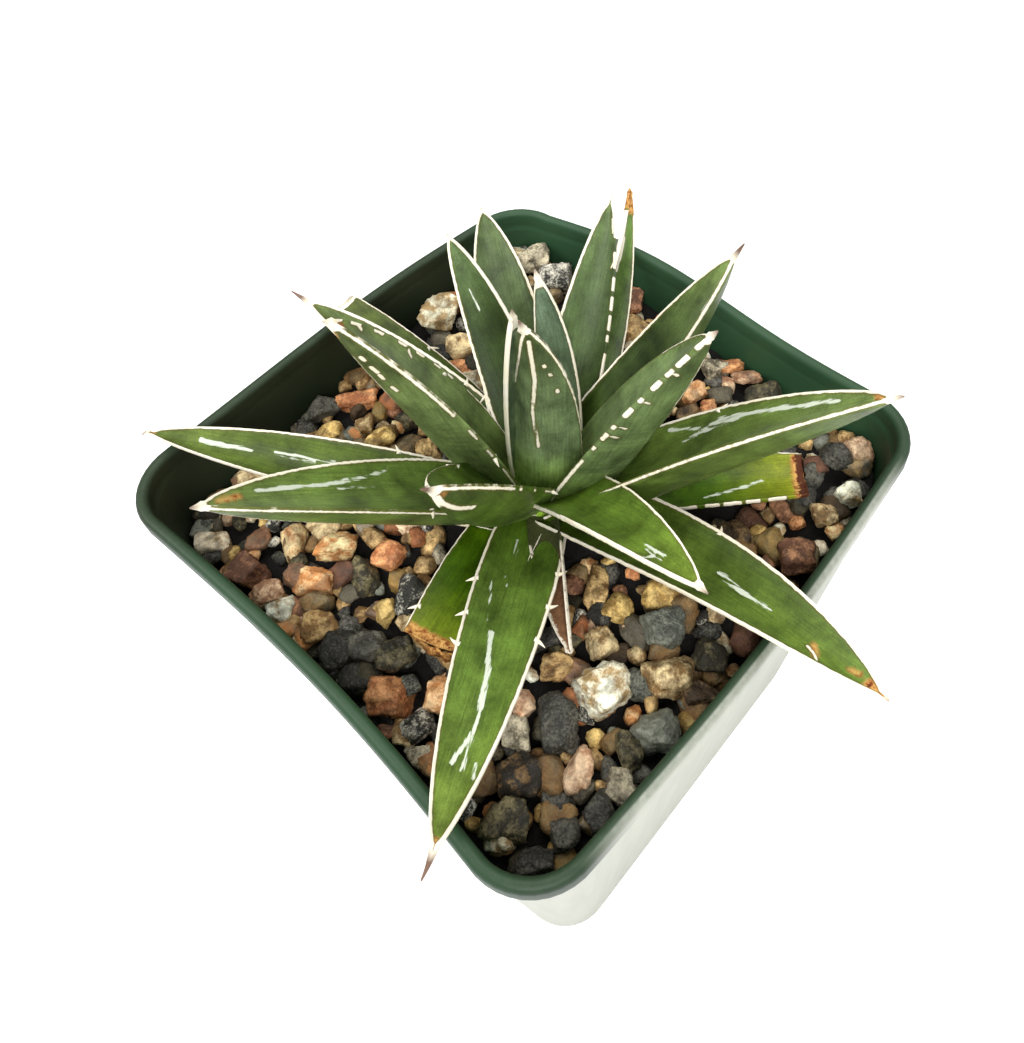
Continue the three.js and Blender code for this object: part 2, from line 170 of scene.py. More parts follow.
def mesh_of(name, points, faces):
    """A mesh in metres from points in millimetres."""
    mesh = bpy.data.meshes.new(name)
    mesh.from_pydata((np.asarray(points) / 1000).tolist(), [], faces)
    return mesh


def shown(name, data):
    """A new object in the scene."""
    made = bpy.data.objects.new(name, data)
    bpy.context.scene.collection.objects.link(made)
    return made


def piece(name, points, faces, material, slot, *nodes, **values):
    """A smooth mesh object, with one value, vector or colour at each point for the shader."""
    mesh = mesh_of(name, points, faces)
    mesh.polygons.foreach_set("use_smooth", np.ones(len(mesh.polygons), dtype=bool))
    for label, data in values.items():
        data = np.asarray(data, dtype=np.float32)
        kind = "FLOAT" if data.ndim == 1 else "FLOAT_COLOR" if data.shape[1] == 4 else "FLOAT_VECTOR"
        field = {"FLOAT": "value", "FLOAT_COLOR": "color", "FLOAT_VECTOR": "vector"}[kind]
        mesh.attributes.new(label, kind, "POINT").data.foreach_set(field, data.ravel())
    mesh.update()
    mesh.materials.append(material)
    made = shown(name, mesh)
    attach(made, "root")
    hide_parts(*nodes)
    return made


def pot_ring(half, corner, z, steps=28, bend=9):
    """One level of the pot: four bowed sides joined by round corners.

    A side stands at half + z/height · (bulge·cos(πa/2) + sway·sin(πa)) from the middle, for a from
    −1 to 1 along it, and a corner is a quarter circle about its own centre."""
    flat = half - corner
    a = np.linspace(-1, 1, steps)
    b = np.linspace(0, np.pi / 2, bend + 2)[1:-1]
    parts = []
    for quarter, (bulge, sway) in enumerate(SIDE_BOWS):
        out = half + z / POT_HEIGHT * (bulge * np.cos(a * np.pi / 2) + sway * np.sin(a * np.pi))
        u = np.concatenate([out, flat + corner * np.cos(b)])
        v = np.concatenate([flat * a, flat + corner * np.sin(b)])
        cos, sin = np.cos(quarter * np.pi / 2), np.sin(quarter * np.pi / 2)
        parts.append(np.stack([u * cos - v * sin, u * sin + v * cos], -1))
    ring = np.concatenate(parts)
    return np.column_stack([ring, np.full(len(ring), float(z))])


def wall_half(z):
    """The outer face of the wall, which widens evenly from the base to just under the rim."""
    return BASE_HALF + (RIM_HALF - RIM_STEP - BASE_HALF) * z / POT_HEIGHT


def wall_ring(z, inset):
    corner = BASE_CORNER + (RIM_CORNER - BASE_CORNER) * z / POT_HEIGHT
    return pot_ring(wall_half(z) - inset, corner - inset, z)


def rim_ring(z, inset):
    return pot_ring(RIM_HALF - inset, RIM_CORNER - inset, z)


under_rim = POT_HEIGHT - RIM_DEPTH
bend = np.linspace(0, 1, 7) * math.pi / 2
foot = [wall_ring(FOOT_ROUND * (1 - math.cos(t)), FOOT_ROUND * (1 - math.sin(t))) for t in bend]
outside = [wall_ring(z, 0) for z in np.linspace(FOOT_ROUND, under_rim - 0.4, 26)[1:]]
step = [wall_ring(under_rim - 0.15, 0.02), rim_ring(under_rim, 0.2), rim_ring(under_rim + 0.25, 0.04)]
band = [rim_ring(z, 0) for z in (under_rim + 0.5, under_rim + 1.4, POT_HEIGHT - 1)]
roll = [rim_ring(POT_HEIGHT - 1 + math.sin(t), 1 - math.cos(t))
        for t in np.linspace(0.2, math.pi - 0.2, 11)]
inner_rim = [rim_ring(z, RIM_WIDTH) for z in (POT_HEIGHT - 1.2, POT_HEIGHT - 2.2, under_rim + 0.9)]
shelf = [rim_ring(under_rim + 0.4, RIM_WIDTH - 0.1), wall_ring(under_rim - 0.1, WALL)]
inside = [wall_ring(z, WALL) for z in np.linspace(under_rim - 0.6, FLOOR + 1.2, 24)]
cove = [wall_ring(FLOOR + 1 - math.sin(t), WALL + 1 - math.cos(t)) for t in bend[1:]]
underside = [wall_ring(0, FOOT_ROUND) * [k, k, 1] for k in (0.25, 0.5, 0.75)]
floor_top = [wall_ring(FLOOR, WALL + 1) * [k, k, 1] for k in (0.75, 0.5, 0.25)]
rings = underside + foot + outside + step + band + roll + inner_rim + shelf + inside + cove + floor_top
pot_points, pot_faces = skin(np.array(rings), (0, 0, 0), (0, 0, FLOOR))

# Moulded polypropylene: dark green and satin, with a faintly rippled skin. It is painted lighter
# green on the +X side as painted light, and darker on the −Y side and inside the +Y wall as painted
# shade. The outer walls are painted pale and streaked as a painted glare, with a painted contact
# shadow at the very foot, and the top of the rim is paler in patches of about a millimetre.
plastic, place = blank("moulded_polypropylene")
x, y, height = add("SeparateXYZ", {0: place}).outputs
scuff = noise(place, 900, 4, 0.7)
cloud = noise(place, 60, 3)
streaks = noise(stretched(place, (1, 1, 0.06)), 420, 2)
body = mixed(cloud, "#1e3624", "#2b4b30")
# Painted light: the +X side is painted lighter green, as if more light fell on it.
body = mixed(ramp(x, 0.03, 0.04, 0, 0.7), body, "#34563a")
# Painted shade: the −Y side is darkened.
body = mixed(ramp(y, -0.034, -0.041, 0, 0.6), body, "#141d12")
# Painted shade: the inside of the +Y wall is darkened, except near the +X corner.
back_wall_painted_shade = times(ramp(y, 0.02, 0.036), ramp(x, 0.026, 0.038, 1, 0))
body = mixed(back_wall_painted_shade, body, "#222a1c")
# Painted glare: the outer walls are painted pale, a little paler towards the rim, and streaked darker.
painted_glare = mixed(ramp(height, 0.01, 0.077, 1, 0), "#b0b2a6", "#a8a99d")
painted_glare = mixed(ramp(streaks, 0.35, 0.75, 0, 0.35), painted_glare, "#8c8e84")
# Painted contact shadow: the very foot of the outer wall is darkened.
painted_glare = mixed(ramp(height, 0, 0.0008, 0.8, 0), painted_glare, "#4c4e46")
colour = mixed(attribute("outer"), body, painted_glare)
# The top of the rim is paler in patches about a millimetre across.
paler_rim_top = times(ramp(height, 0.0781, 0.079, 0, 0.9), scuff)
colour = mixed(paler_rim_top, colour, "#384a34")
relief = bump(scuff, 0.1, 0.00012, bump(cloud, 0.12, 0.0006))
surface(colour, 0.48, {"IOR": 1.45, "Specular IOR Level": 0.3, "Normal": relief})

# The pale painted glare covers the outer walls. On the −Y side it also covers the rim's band and the
# outer half of its roll, and there it fades out over the last 8 mm.
GLARE_EDGE_X = 36
GLARE_EDGE_Y = -28
GLARE_FADE = 8
to_wall = len(underside + foot + outside) * len(rings[0])
to_rim = to_wall + len(step + band + roll[:5]) * len(rings[0])
rim_x, rim_y = pot_points[to_wall:to_rim, :2].T
outer_share = np.zeros(len(pot_points))
outer_share[:to_wall] = 1
outer_share[to_wall:to_rim] = (np.clip((GLARE_EDGE_Y - rim_y) / GLARE_FADE, 0, 1)
                               * np.clip((GLARE_EDGE_X - np.abs(rim_x)) / GLARE_FADE, 0, 1))
pot = piece("nursery_pot", pot_points, pot_faces, plastic, "pot", "pot", outer=outer_share)

for side_x, side_y in ((1, 1), (-1, 1), (-1, -1), (1, -1)):
    centre = np.array([side_x * DRAIN_PLACE, side_y * DRAIN_PLACE, 0])
    angle = np.linspace(0, 2 * np.pi, 33)[:-1]
    circle = centre + DRAIN_RADIUS * np.stack([np.cos(angle), np.sin(angle), 0 * angle], -1)
    below, above = np.array([0, 0, -3]), np.array([0, 0, 4])
    drill_skin = skin(np.stack([circle + below, circle + above]), centre + below, centre + above)
    drill = shown("drill", mesh_of("drill", *drill_skin))
    cut = pot.modifiers.new("drain", "BOOLEAN")
    cut.operation = "DIFFERENCE"
    cut.solver = "EXACT"
    cut.object = drill
    drilled = pot.evaluated_get(bpy.context.evaluated_depsgraph_get())
    pot_mesh = bpy.data.meshes.new_from_object(drilled)
    pot.modifiers.clear()
    pot.data = pot_mesh
    bpy.data.objects.remove(drill)

# --- Stem ---------------------------------------------------------------------------------------
# The short woody stem that carries every leaf. It is hidden by the rosette and the gravel, tan and
# fibrous, with the narrow scars that shed leaves leave round it.

STEM_CENTRE = (0.5, -2.0)
STEM_RADIUS = 4.0
STEM_FOOT = 44.0
STEM_TOP = 71.5
SCAR_PITCH = 2.6
SCAR_DEPTH = 0.14


def stem_rings():
    """A turned form: its radius swells from the root end and rounds off on top, less scars a pitch apart.

    A scar is SCAR_DEPTH·|sin(πz/pitch + 0.35·sin(turn))| deep."""
    z = np.linspace(STEM_FOOT, STEM_TOP, 90)
    u = (z - STEM_FOOT) / (STEM_TOP - STEM_FOOT)
    ends = np.minimum(1, 0.6 + 0.4 * np.sqrt(np.clip(u / 0.3, 0, 1)))
    ends = np.minimum(ends, 0.6 + 0.4 * np.sqrt(np.clip((1 - u) / 0.1, 0, 1)))
    turn = np.linspace(0, 2 * np.pi, 49)[:-1]
    scars = SCAR_DEPTH * np.abs(np.sin(np.pi * z[:, None] / SCAR_PITCH + 0.35 * np.sin(turn)))
    radius = STEM_RADIUS * ends[:, None] - scars
    x = STEM_CENTRE[0] + radius * np.cos(turn)
    y = STEM_CENTRE[1] + radius * np.sin(turn)
    return np.stack([x, y, np.broadcast_to(z[:, None], x.shape)], -1)


# Dry, corky wood whose fibres run up the stem.
stem_wood, place = blank("woody_stem")
fibre = noise(stretched(place, (1, 1, 0.15)), 1500, 4)
colour = mixed(fibre, "#5a4a2c", "#a8976a")
surface(colour, 0.75, {"Normal": bump(fibre, 0.5, 0.0003)})
stem_skin = skin(stem_rings(), (*STEM_CENTRE, STEM_FOOT), (*STEM_CENTRE, STEM_TOP))
piece("rosette_stem_wood", *stem_skin, stem_wood, "stem", "rosette_stem")

# --- Leaves -------------------------------------------------------------------------------------
# Stiff, keeled leaves set round the stem in a spiral. Each has a channelled upper face, a raised
# white horny margin that runs on into the end spine, and white lines where it lay in the bud
# against its neighbours. Three old outer leaves were cut short with a blade.

# A leaf's azimuth and how far it sweeps round, its rise at the root and at the tip, its length and
# width, its roll and twist, its root's place, its keel's and channel's depth as shares of the half
# width, the share of the length that is left, its end spine's length and its number of hooked teeth.
Leaf = namedtuple("Leaf", "azimuth sweep rise tip_rise length width roll twist x y z "
                          "keel channel left spine teeth")
LEAVES = {name: Leaf(*numbers) for name, *numbers in [
    ("bud_leaf_front", -159, -10, 113, 75.5, 38.5, 12, 6, -4, -1.9, -4.3, 71, 0.5, 0.25, 1, 1.5, 0),
    ("bud_leaf_back", 89, 1, 89, 94.5, 39.5, 8.8, -1, 2, 1.9, 1, 68.4, 0.5, 0.24, 1, 1, 0),
    ("bud_leaf_right", 24, 44, 56, 47.5, 34, 8.5, -16, -29, 4.4, -2.7, 68.5, 0.5, 0.3, 1, 1, 0),
    ("leaf_01", -166, 11, 54, 57, 39.5, 12.5, 0, 2, -1, -2.3, 72.2, 0.86, 0.35, 1, 2.5, 2),
    ("leaf_02", -62, -3, 67, 58.5, 46, 11.9, -6, 1, 2.6, -5.3, 71, 0.91, 0.31, 1, 1, 0),
    ("leaf_03", 139, 16, 76, 59, 48, 11.9, 7, -2, -2, 0.5, 71.6, 0.89, 0.34, 1, 0.5, 2),
    ("leaf_04", -103, 1, 52.5, 15, 42.3, 11.1, -6, -1, 0.3, -4, 71, 0.55, 0.28, 1, 1, 0),
    ("leaf_05", 60, 13, 43, 27, 41.3, 10.1, -33, -8, 3.3, -0.6, 71, 0.55, 0.26, 1, 0.5, 0),
    ("leaf_06", 50, 7, 35, 14, 47.8, 12.4, -4, 1, 2.4, 0.2, 70.5, 0.55, 0.26, 1, 0.5, 1),
    ("leaf_07", 23.5, 4, 29, 34.5, 47, 10.7, -14, 1.5, 3.5, -2, 70.4, 0.55, 0.24, 1, 0.5, 0),
    ("leaf_08", -23.5, -2, 43.5, 57, 46.3, 12.6, -18, 5, 3.2, -2.9, 70.7, 0.81, 0.3, 1, 2.5, 0),
    ("leaf_09", -58.5, -14, 46, 40, 57.8, 12.5, -14, 2, 1.8, -6.2, 69.8, 0.85, 0.33, 1, 1, 1),
    ("leaf_10", 162, 14.5, 44, 43.5, 54.2, 12.6, 5, -4.5, -2.7, -0.5, 70, 0.79, 0.31, 1, 1, 1),
    ("leaf_11", 96.5, 7, 33.5, 22.5, 45.2, 10.8, 10, 1, 1.1, 0.8, 70, 0.55, 0.26, 1, 3, 3),
    ("leaf_12", 16.5, 18, 5, 29, 57.3, 8.7, 45, 25, 3.4, -1.4, 69, 0.55, 0.22, 1, 0.5, 0),
    ("leaf_13", -82.5, -19.5, 21.5, 13, 57.7, 12.5, -2, 2, 1.1, -5, 69, 0.55, 0.25, 1, 0.5, 1),
    ("leaf_14", -149, 1.5, 11.5, 19.5, 55.3, 11.9, -6, 2, -1, -3.6, 69.2, 0.55, 0.24, 1, 3, 6),
    ("leaf_15", 126, -4.5, 21, 6, 58.4, 10.7, -1, 0, -3.7, -0.6, 67.8, 0.55, 0.22, 1, 1.5, 3),
    ("cut_leaf_back", 87.5, 6, 20.5, 10, 56.7, 10.3, 0, 0, 1.2, 0.9, 69, 0.55, 0.26, 0.8, 0, 2),
    ("cut_leaf_right", -50, -2, 10.5, 4, 54.8, 11.3, -5, 0.5, 2.3, -4, 68.5, 0.55, 0.25, 0.71, 0, 0),
    ("cut_leaf_front", -162.5, 2.5, 9, 3, 54, 11.8, -2.5, 0, -2.5, -1.5, 68.6, 0.55, 0.26, 0.5, 0, 3),
    ("dried_leaf", -130, 4, 4, -6, 24, 5.2, 12, 30, -1, -4.5, 70.5, 0.3, 0.6, 1, 0, 0),
]}

# The greens of each leaf: skin at the root, in the middle and at the tip.
GREENS = {
    "bud_leaf_front": ("#8cb038", "#6c7e56", "#586a3c"), "bud_leaf_back": ("#4e6838", "#5c6e50", "#66785a"),
    "bud_leaf_right": ("#46602c", "#56684c", "#70866c"), "leaf_01": ("#84a44e", "#4c6222", "#48582a"),
    "leaf_02": ("#587016", "#6a7e4e", "#4e5e30"), "leaf_03": ("#687e38", "#6c7e4a", "#56642e"),
    "leaf_04": ("#4c660c", "#506822", "#6e842e"), "leaf_05": ("#2a3812", "#2c3c16", "#667c4c"),
    "leaf_06": ("#3a4a20", "#4e5e38", "#4c5c34"), "leaf_07": ("#344818", "#465830", "#5a6c40"),
    "leaf_08": ("#2c3c0a", "#304018", "#7c9252"), "leaf_09": ("#365206", "#5a6e30", "#72864a"),
    "leaf_10": ("#425a18", "#5a7030", "#6e8044"), "leaf_11": ("#3a4c20", "#48582c", "#5a683a"),
    "leaf_12": ("#3a5020", "#4e6230", "#6c8e40"), "leaf_13": ("#3a5010", "#4e6222", "#5a702a"),
    "leaf_14": ("#385208", "#566e2a", "#6c8032"), "leaf_15": ("#3c4e18", "#48591e", "#5c6c2e"),
    "cut_leaf_back": ("#425418", "#4c5c26", "#566228"), "cut_leaf_right": ("#304804", "#3e5c08", "#8a9020"),
    "cut_leaf_front": ("#5a7606", "#385404", "#6e7c14"), "dried_leaf": ("#243a04", "#2c3c0a", "#452a18"),
}

# The white horny margin's width round the edge, on the leaf's side at −1 and on that at +1.
USUAL_MARGIN = (0.8, 0.8)
MARGINS = {
    "leaf_05": (1.3, 1.3), "leaf_06": (1.3, 1.3), "leaf_08": (1.0, 0.22), "leaf_09": (1.1, 0.15),
    "leaf_10": (0.3, 1.1), "leaf_11": (1.3, 1.3), "leaf_12": (1.0, 1.0), "leaf_13": (1.3, 0.8),
    "leaf_14": (1.25, 1.2), "leaf_15": (0.6, 1.1),
    "bud_leaf_back": (1.2, 1.1), "bud_leaf_right": (0.9, 0.35),
}
# A broken margin, as spans along each side with their widths. Between them the edge is green.
BROKEN_MARGINS = {
    "leaf_01": ([(0.58, 1, 0.4), (0.53, 0.55, 0.36), (0.41, 0.43, 0.36), (0.08, 0.32, 0.3)],
                [(0.86, 1, 0.6), (0.48, 0.86, 0.5)]),
    "leaf_02": ([(0.76, 1, 0.6), (0.1, 0.76, 0.3)],
                [(0.885, 0.93, 0.5), (0.842, 0.872, 0.38), (0.78, 0.822, 0.5), (0.72, 0.742, 0.36),
                 (0.645, 0.69, 0.5), (0.58, 0.6, 0.34), (0.52, 0.556, 0.42), (0.46, 0.482, 0.3),
                 (0.05, 0.4, 0.24), (0.955, 1, 0.4)]),
    "leaf_03": ([(0.56, 1, 0.42), (0.44, 0.49, 0.4), (0.345, 0.385, 0.36), (0.05, 0.28, 0.28)],
                [(0.89, 0.93, 1.2), (0.80, 0.84, 1.2), (0.70, 0.74, 1.1), (0.62, 0.66, 1.1),
                 (0.54, 0.575, 1.0), (0.475, 0.505, 1.0), (0.96, 1, 1.1), (0.1, 0.4, 0.7)]),
    "leaf_04": ([(0, 1, 1.0)], [(0, 0.45, 0.4), (0.45, 1, 0.8)]),
    "leaf_07": ([(0, 1, 1.3)],
                [(0.86, 1, 1.0), (0.75, 0.81, 1.2), (0.67, 0.72, 1.1), (0.60, 0.65, 1.1),
                 (0.53, 0.585, 1.1), (0.49, 0.515, 0.9), (0.1, 0.45, 0.9)]),
    "bud_leaf_front": ([(0.46, 1, 0.4), (0, 0.46, 0.3)], [(0.42, 1, -0.12), (0.2, 0.42, -0.15)]),
    "cut_leaf_right": ([(0, 1, 0.7)], [(0.6, 0.65, 0.6), (0.54, 0.58, 0.55), (0.48, 0.53, 0.6),
                                       (0.43, 0.47, 0.5), (0, 0.41, 0.4)]),
    "dried_leaf": ([(0.35, 1, 1.3)], [(0.3, 1, 1.3)]),
}

# Where the white tip begins, as a share of the length.
USUAL_TIP = 0.98
WHITE_TIPS = {"leaf_01": 0.97, "leaf_03": 0.975, "leaf_05": 0.99, "leaf_06": 0.99, "leaf_07": 1.0,
              "leaf_08": 0.99, "leaf_09": 0.985, "leaf_10": 0.985, "leaf_12": 1.2, "leaf_13": 1.2,
              "leaf_14": 1.005, "leaf_15": 1.0,
              "bud_leaf_front": 0.975, "bud_leaf_back": 0.94, "bud_leaf_right": 0.95}

# How far a spine's end bends down and sideways.
SPINE_BENDS = {"leaf_03": (0.4, 0), "leaf_08": (-0.3, 0.5), "leaf_14": (0.2, 0.3), "leaf_15": (1.3, 0)}

# Lines left by the bud: width, face (1 upper, −1 back), then their points as shares along and across.
WHITE_LINES = {
    "bud_leaf_front": [(0.45, -1, (0.98, -0.4), (0.94, 0.2), (0.75, 0.63), (0.53, 0.92), (0.42, 0.98)),
                       (0.5, -1, (0.94, -0.5), (0.74, -0.2), (0.56, 0), (0.38, -0.1)),
                       (0.4, -1, (0.81, -0.63), (0.80, -0.64)), (0.38, -1, (0.76, -0.7), (0.75, -0.71)),
                       (0.4, -1, (0.67, -0.72), (0.655, -0.73))],
    "leaf_01": [(0.5, -1, (0.96, -0.47), (0.91, -0.29), (0.82, -0.38), (0.73, -0.56)),
                (0.45, -1, (0.97, -0.2), (0.89, 0))],
    "leaf_02": [(0.22, -1, (0.92, 0.1), (0.8, 0.08), (0.69, 0.12)), (0.2, -1, (0.6, 0.08), (0.3, 0.05)),
                (0.35, -1, (0.862, 0.97), (0.856, 0.86)), (0.35, -1, (0.73, 0.97), (0.724, 0.86)),
                (0.35, -1, (0.6, 0.97), (0.592, 0.85)), (0.35, -1, (0.55, 0.97), (0.542, 0.86))],
    "leaf_03": [(0.22, -1, (0.88, -0.15), (0.7, -0.12), (0.54, -0.15)),
                (0.5, -1, (0.87, -0.5), (0.855, -0.5)), (0.5, -1, (0.825, -0.5), (0.8, -0.52)),
                (0.45, -1, (0.79, -0.5), (0.77, -0.5)), (0.5, -1, (0.73, -0.5), (0.71, -0.52)),
                (0.35, 1, (0.69, 0.9), (0.67, 0.78)), (0.35, 1, (0.9, 0.9), (0.885, 0.78))],
    "leaf_07": [(0.35, 1, (0.93, 0.75), (0.88, 0.8)), (0.3, 1, (0.77, 0.9), (0.755, 0.8))],
    "leaf_08": [(0.3, -1, (0.95, 0), (0.6, 0.02), (0.25, 0))],
    "leaf_10": [(0.45, -1, (0.985, -0.15), (0.85, -0.23), (0.62, -0.26))],
    "leaf_12": [(1.0, 1, (0.9, -0.62), (0.72, -0.55)), (0.5, 1, (0.84, -0.2), (0.76, -0.3))],
    "leaf_13": [(0.3, 1, (0.86, 0.8), (0.845, 0.55), (0.82, 0.38))],
}

# Pale streaks in the same form: partly painted highlights of the glossy waxy skin, partly pale marks in its
# bloom.
SHEEN_AND_WAX_MARKS = {
    "leaf_04": [(0.5, 1, (0.8, 0), (0.82, 0.3), (0.82, 0.85)), (0.4, 1, (0.76, 0.1), (0.84, -0.05)),
                (0.35, 1, (0.78, 0.25), (0.85, 0.3))],
    "leaf_05": [(0.35, 1, (0.77, -0.29), (0.68, -0.2))],
    "leaf_08": [(0.4, 1, (0.86, 0.63), (0.82, 0.56))],
    "leaf_09": [(0.45, 1, (0.38, -0.83), (0.43, -0.75), (0.48, -0.63)),
                (0.55, 1, (0.43, -0.38), (0.54, -0.72), (0.63, -0.7), (0.72, -0.63), (0.87, -0.56)),
                (0.3, 1, (0.5, -0.5), (0.6, -0.62))],
    "leaf_10": [(0.4, 1, (0.44, 0.77), (0.53, 0.6), (0.6, 0.5)), (0.3, 1, (0.47, 0.35), (0.62, 0.3)),
                (0.6, 1, (0.58, 0.55), (0.64, 0.47), (0.85, 0.56))],
    "leaf_12": [(0.5, 1, (0.88, -0.55), (0.83, -0.6)), (0.45, 1, (0.85, -0.75), (0.74, -0.7))],
    "leaf_13": [(0.5, 1, (0.54, -0.12), (0.62, 0), (0.7, 0.02)), (0.25, 1, (0.56, 0.05), (0.64, 0.12))],
    "leaf_14": [(0.3, 1, (0.3, 0.62), (0.36, 0.5), (0.42, 0.42)), (0.4, 1, (0.7, -0.12), (0.82, -0.14)),
                (0.75, 1, (0.45, 0.24), (0.56, 0.04), (0.66, -0.08)), (0.5, 1, (0.14, 0.3), (0.2, 0.24)),
                (0.6, 1, (0.64, -0.05), (0.72, -0.1), (0.81, 0.36)), (0.3, 1, (0.27, 0.3), (0.3, 0.2)),
                (0.3, 1, (0.8, -0.6), (0.84, -0.75))],
    "leaf_15": [(0.6, 1, (0.86, 0.2), (0.8, 0.1), (0.72, 0.06)), (0.3, 1, (0.86, 0.02), (0.78, -0.02)),
                (0.4, 1, (0.66, 0.18), (0.5, 0.25)), (0.25, 1, (0.66, 0.05), (0.55, 0.1))],
    "cut_leaf_right": [(0.5, 1, (0.43, 0.6), (0.5, 0.38), (0.59, 0)), (0.3, 1, (0.46, 0.4), (0.56, 0.25))],
}

# Corky orange-brown patches in the same form, with 0 for a patch on both faces.
BROWN_PATCHES = {
    "leaf_01": [(1.0, 0, (0.95, -0.6), (0.98, -0.4))], "leaf_03": [(1.2, 0, (0.96, 0.1), (1.0, 0))],
    "leaf_09": [(1.5, 1, (0.97, -0.56), (0.985, -0.3))], "leaf_10": [(0.7, 1, (0.9, 0.45), (0.955, 0.4))],
    "leaf_12": [(3.4, 0, (0.955, 0), (1.02, 0))], "leaf_14": [(1.0, 0, (0.985, 0), (1.03, 0))],
    "leaf_13": [(1.9, 0, (0.97, 0.2), (1.02, 0)), (0.8, 1, (0.85, 0.62), (0.83, 0.2)),
                (0.6, 1, (0.92, 0.1), (0.935, -0.1))],
    "leaf_15": [(0.2, 0, (0.985, 0), (1.0, 0))],
}
# How far a cut leaf is dead behind its cut.
CUT_BANDS = {"cut_leaf_back": 0.2, "cut_leaf_right": 2.0, "cut_leaf_front": 1.6}

LEAF_STEPS = 180
SECTION_HALF = 15
EDGE_HALF = 0.35
BEAD_REACH = 0.45
SPINE_HALF = 0.42
SPINE_ROOT = 0.3
# The upper face's margin reaches this much further in than the back's.
UPPER_MARGIN = 0.28
# A distance beyond the reach of any mark, and the one where a brown patch is at its darkest.
FAR = 9.0
DARKEST = -0.5
# Where the next wave of a sum begins, at most, in radians.
PHASE = 6.283


@cache
def leaf_course(leaf):
    """The leaf's middle line and its three directions at even steps of its length.

    The azimuth and the rise change evenly along the leaf, and the line is the running sum of the
    directions half way along each step. Across is level, then rolled about the line; the upper
    face's direction is at right angles to both."""

    def directions(share):
        a = np.radians(leaf.azimuth + leaf.sweep * share)
        e = np.radians(leaf.rise + (leaf.tip_rise - leaf.rise) * share)
        r = np.radians(leaf.roll + leaf.twist * share)[:, None]
        along = np.stack([np.cos(e) * np.cos(a), np.cos(e) * np.sin(a), np.sin(e)], -1)
        level = np.stack([np.sin(a), -np.cos(a), 0 * a], -1)
        over = np.cross(level, along)
        return along, level * np.cos(r) - over * np.sin(r), over * np.cos(r) + level * np.sin(r)

    middle = (np.arange(LEAF_STEPS) + 0.5) / LEAF_STEPS
    moves = directions(middle)[0] * leaf.length / LEAF_STEPS
    line = np.vstack([[0, 0, 0], np.cumsum(moves, 0)]) + np.array([leaf.x, leaf.y, leaf.z])
    share = np.linspace(0, 1, LEAF_STEPS + 1)
    return share, line, directions(share)


def half_width(leaf, share):
    """Half the leaf's width: W/2 · (0.82 + 0.18·sin(π/2·min(1, s/0.35))) · (1 − s^2.6)^0.75.

    It is never under the spine's."""
    swell = 0.82 + 0.18 * np.sin(np.pi / 2 * np.minimum(1, share / 0.35))
    return np.maximum(SPINE_HALF, leaf.width / 2 * swell * (1 - np.clip(share, 0, 1) ** 2.6) ** 0.75)


def drawn_from(start):
    """Even draws from 0 to 1 by the rule: seed becomes seed · 16807 mod (2^31 − 1)."""
    seed = start
    while True:
        seed = seed * 16807 % 2147483647
        yield seed / 2147483647


def near_line(leaf, along, across, face, marks):
    """Signed distance in mm to the nearest mark's edge, worked in the leaf's own plane.

    It is the distance to the mark's centre line less half its width."""
    nearest = np.full(along.shape, FAR)
    for width, on_face, *points in marks:
        line = [(s * leaf.length, p * half_width(leaf, s)) for s, p in points]
        best = np.full(along.shape, FAR)
        for (x0, y0), (x1, y1) in zip(line[:-1], line[1:]):
            dx, dy = x1 - x0, y1 - y0
            t = np.clip(((along - x0) * dx + (across - y0) * dy) / (dx * dx + dy * dy + 1e-9), 0, 1)
            best = np.minimum(best, np.hypot(along - x0 - t * dx, across - y0 - t * dy))
        best = best - width / 2
        if on_face:
            best = np.where(face * on_face < -0.1, FAR, best)
        nearest = np.minimum(nearest, best)
    return nearest


def wave(place, start, low, high):
    """A smooth random wave from −1 to 1: the mean of five sines of seeded pitch and phase."""
    draw = drawn_from(start)
    total = 0 * place
    for _ in range(5):
        total = total + np.sin(place * (low + (high - low) * next(draw)) + PHASE * next(draw)) / 5
    return total


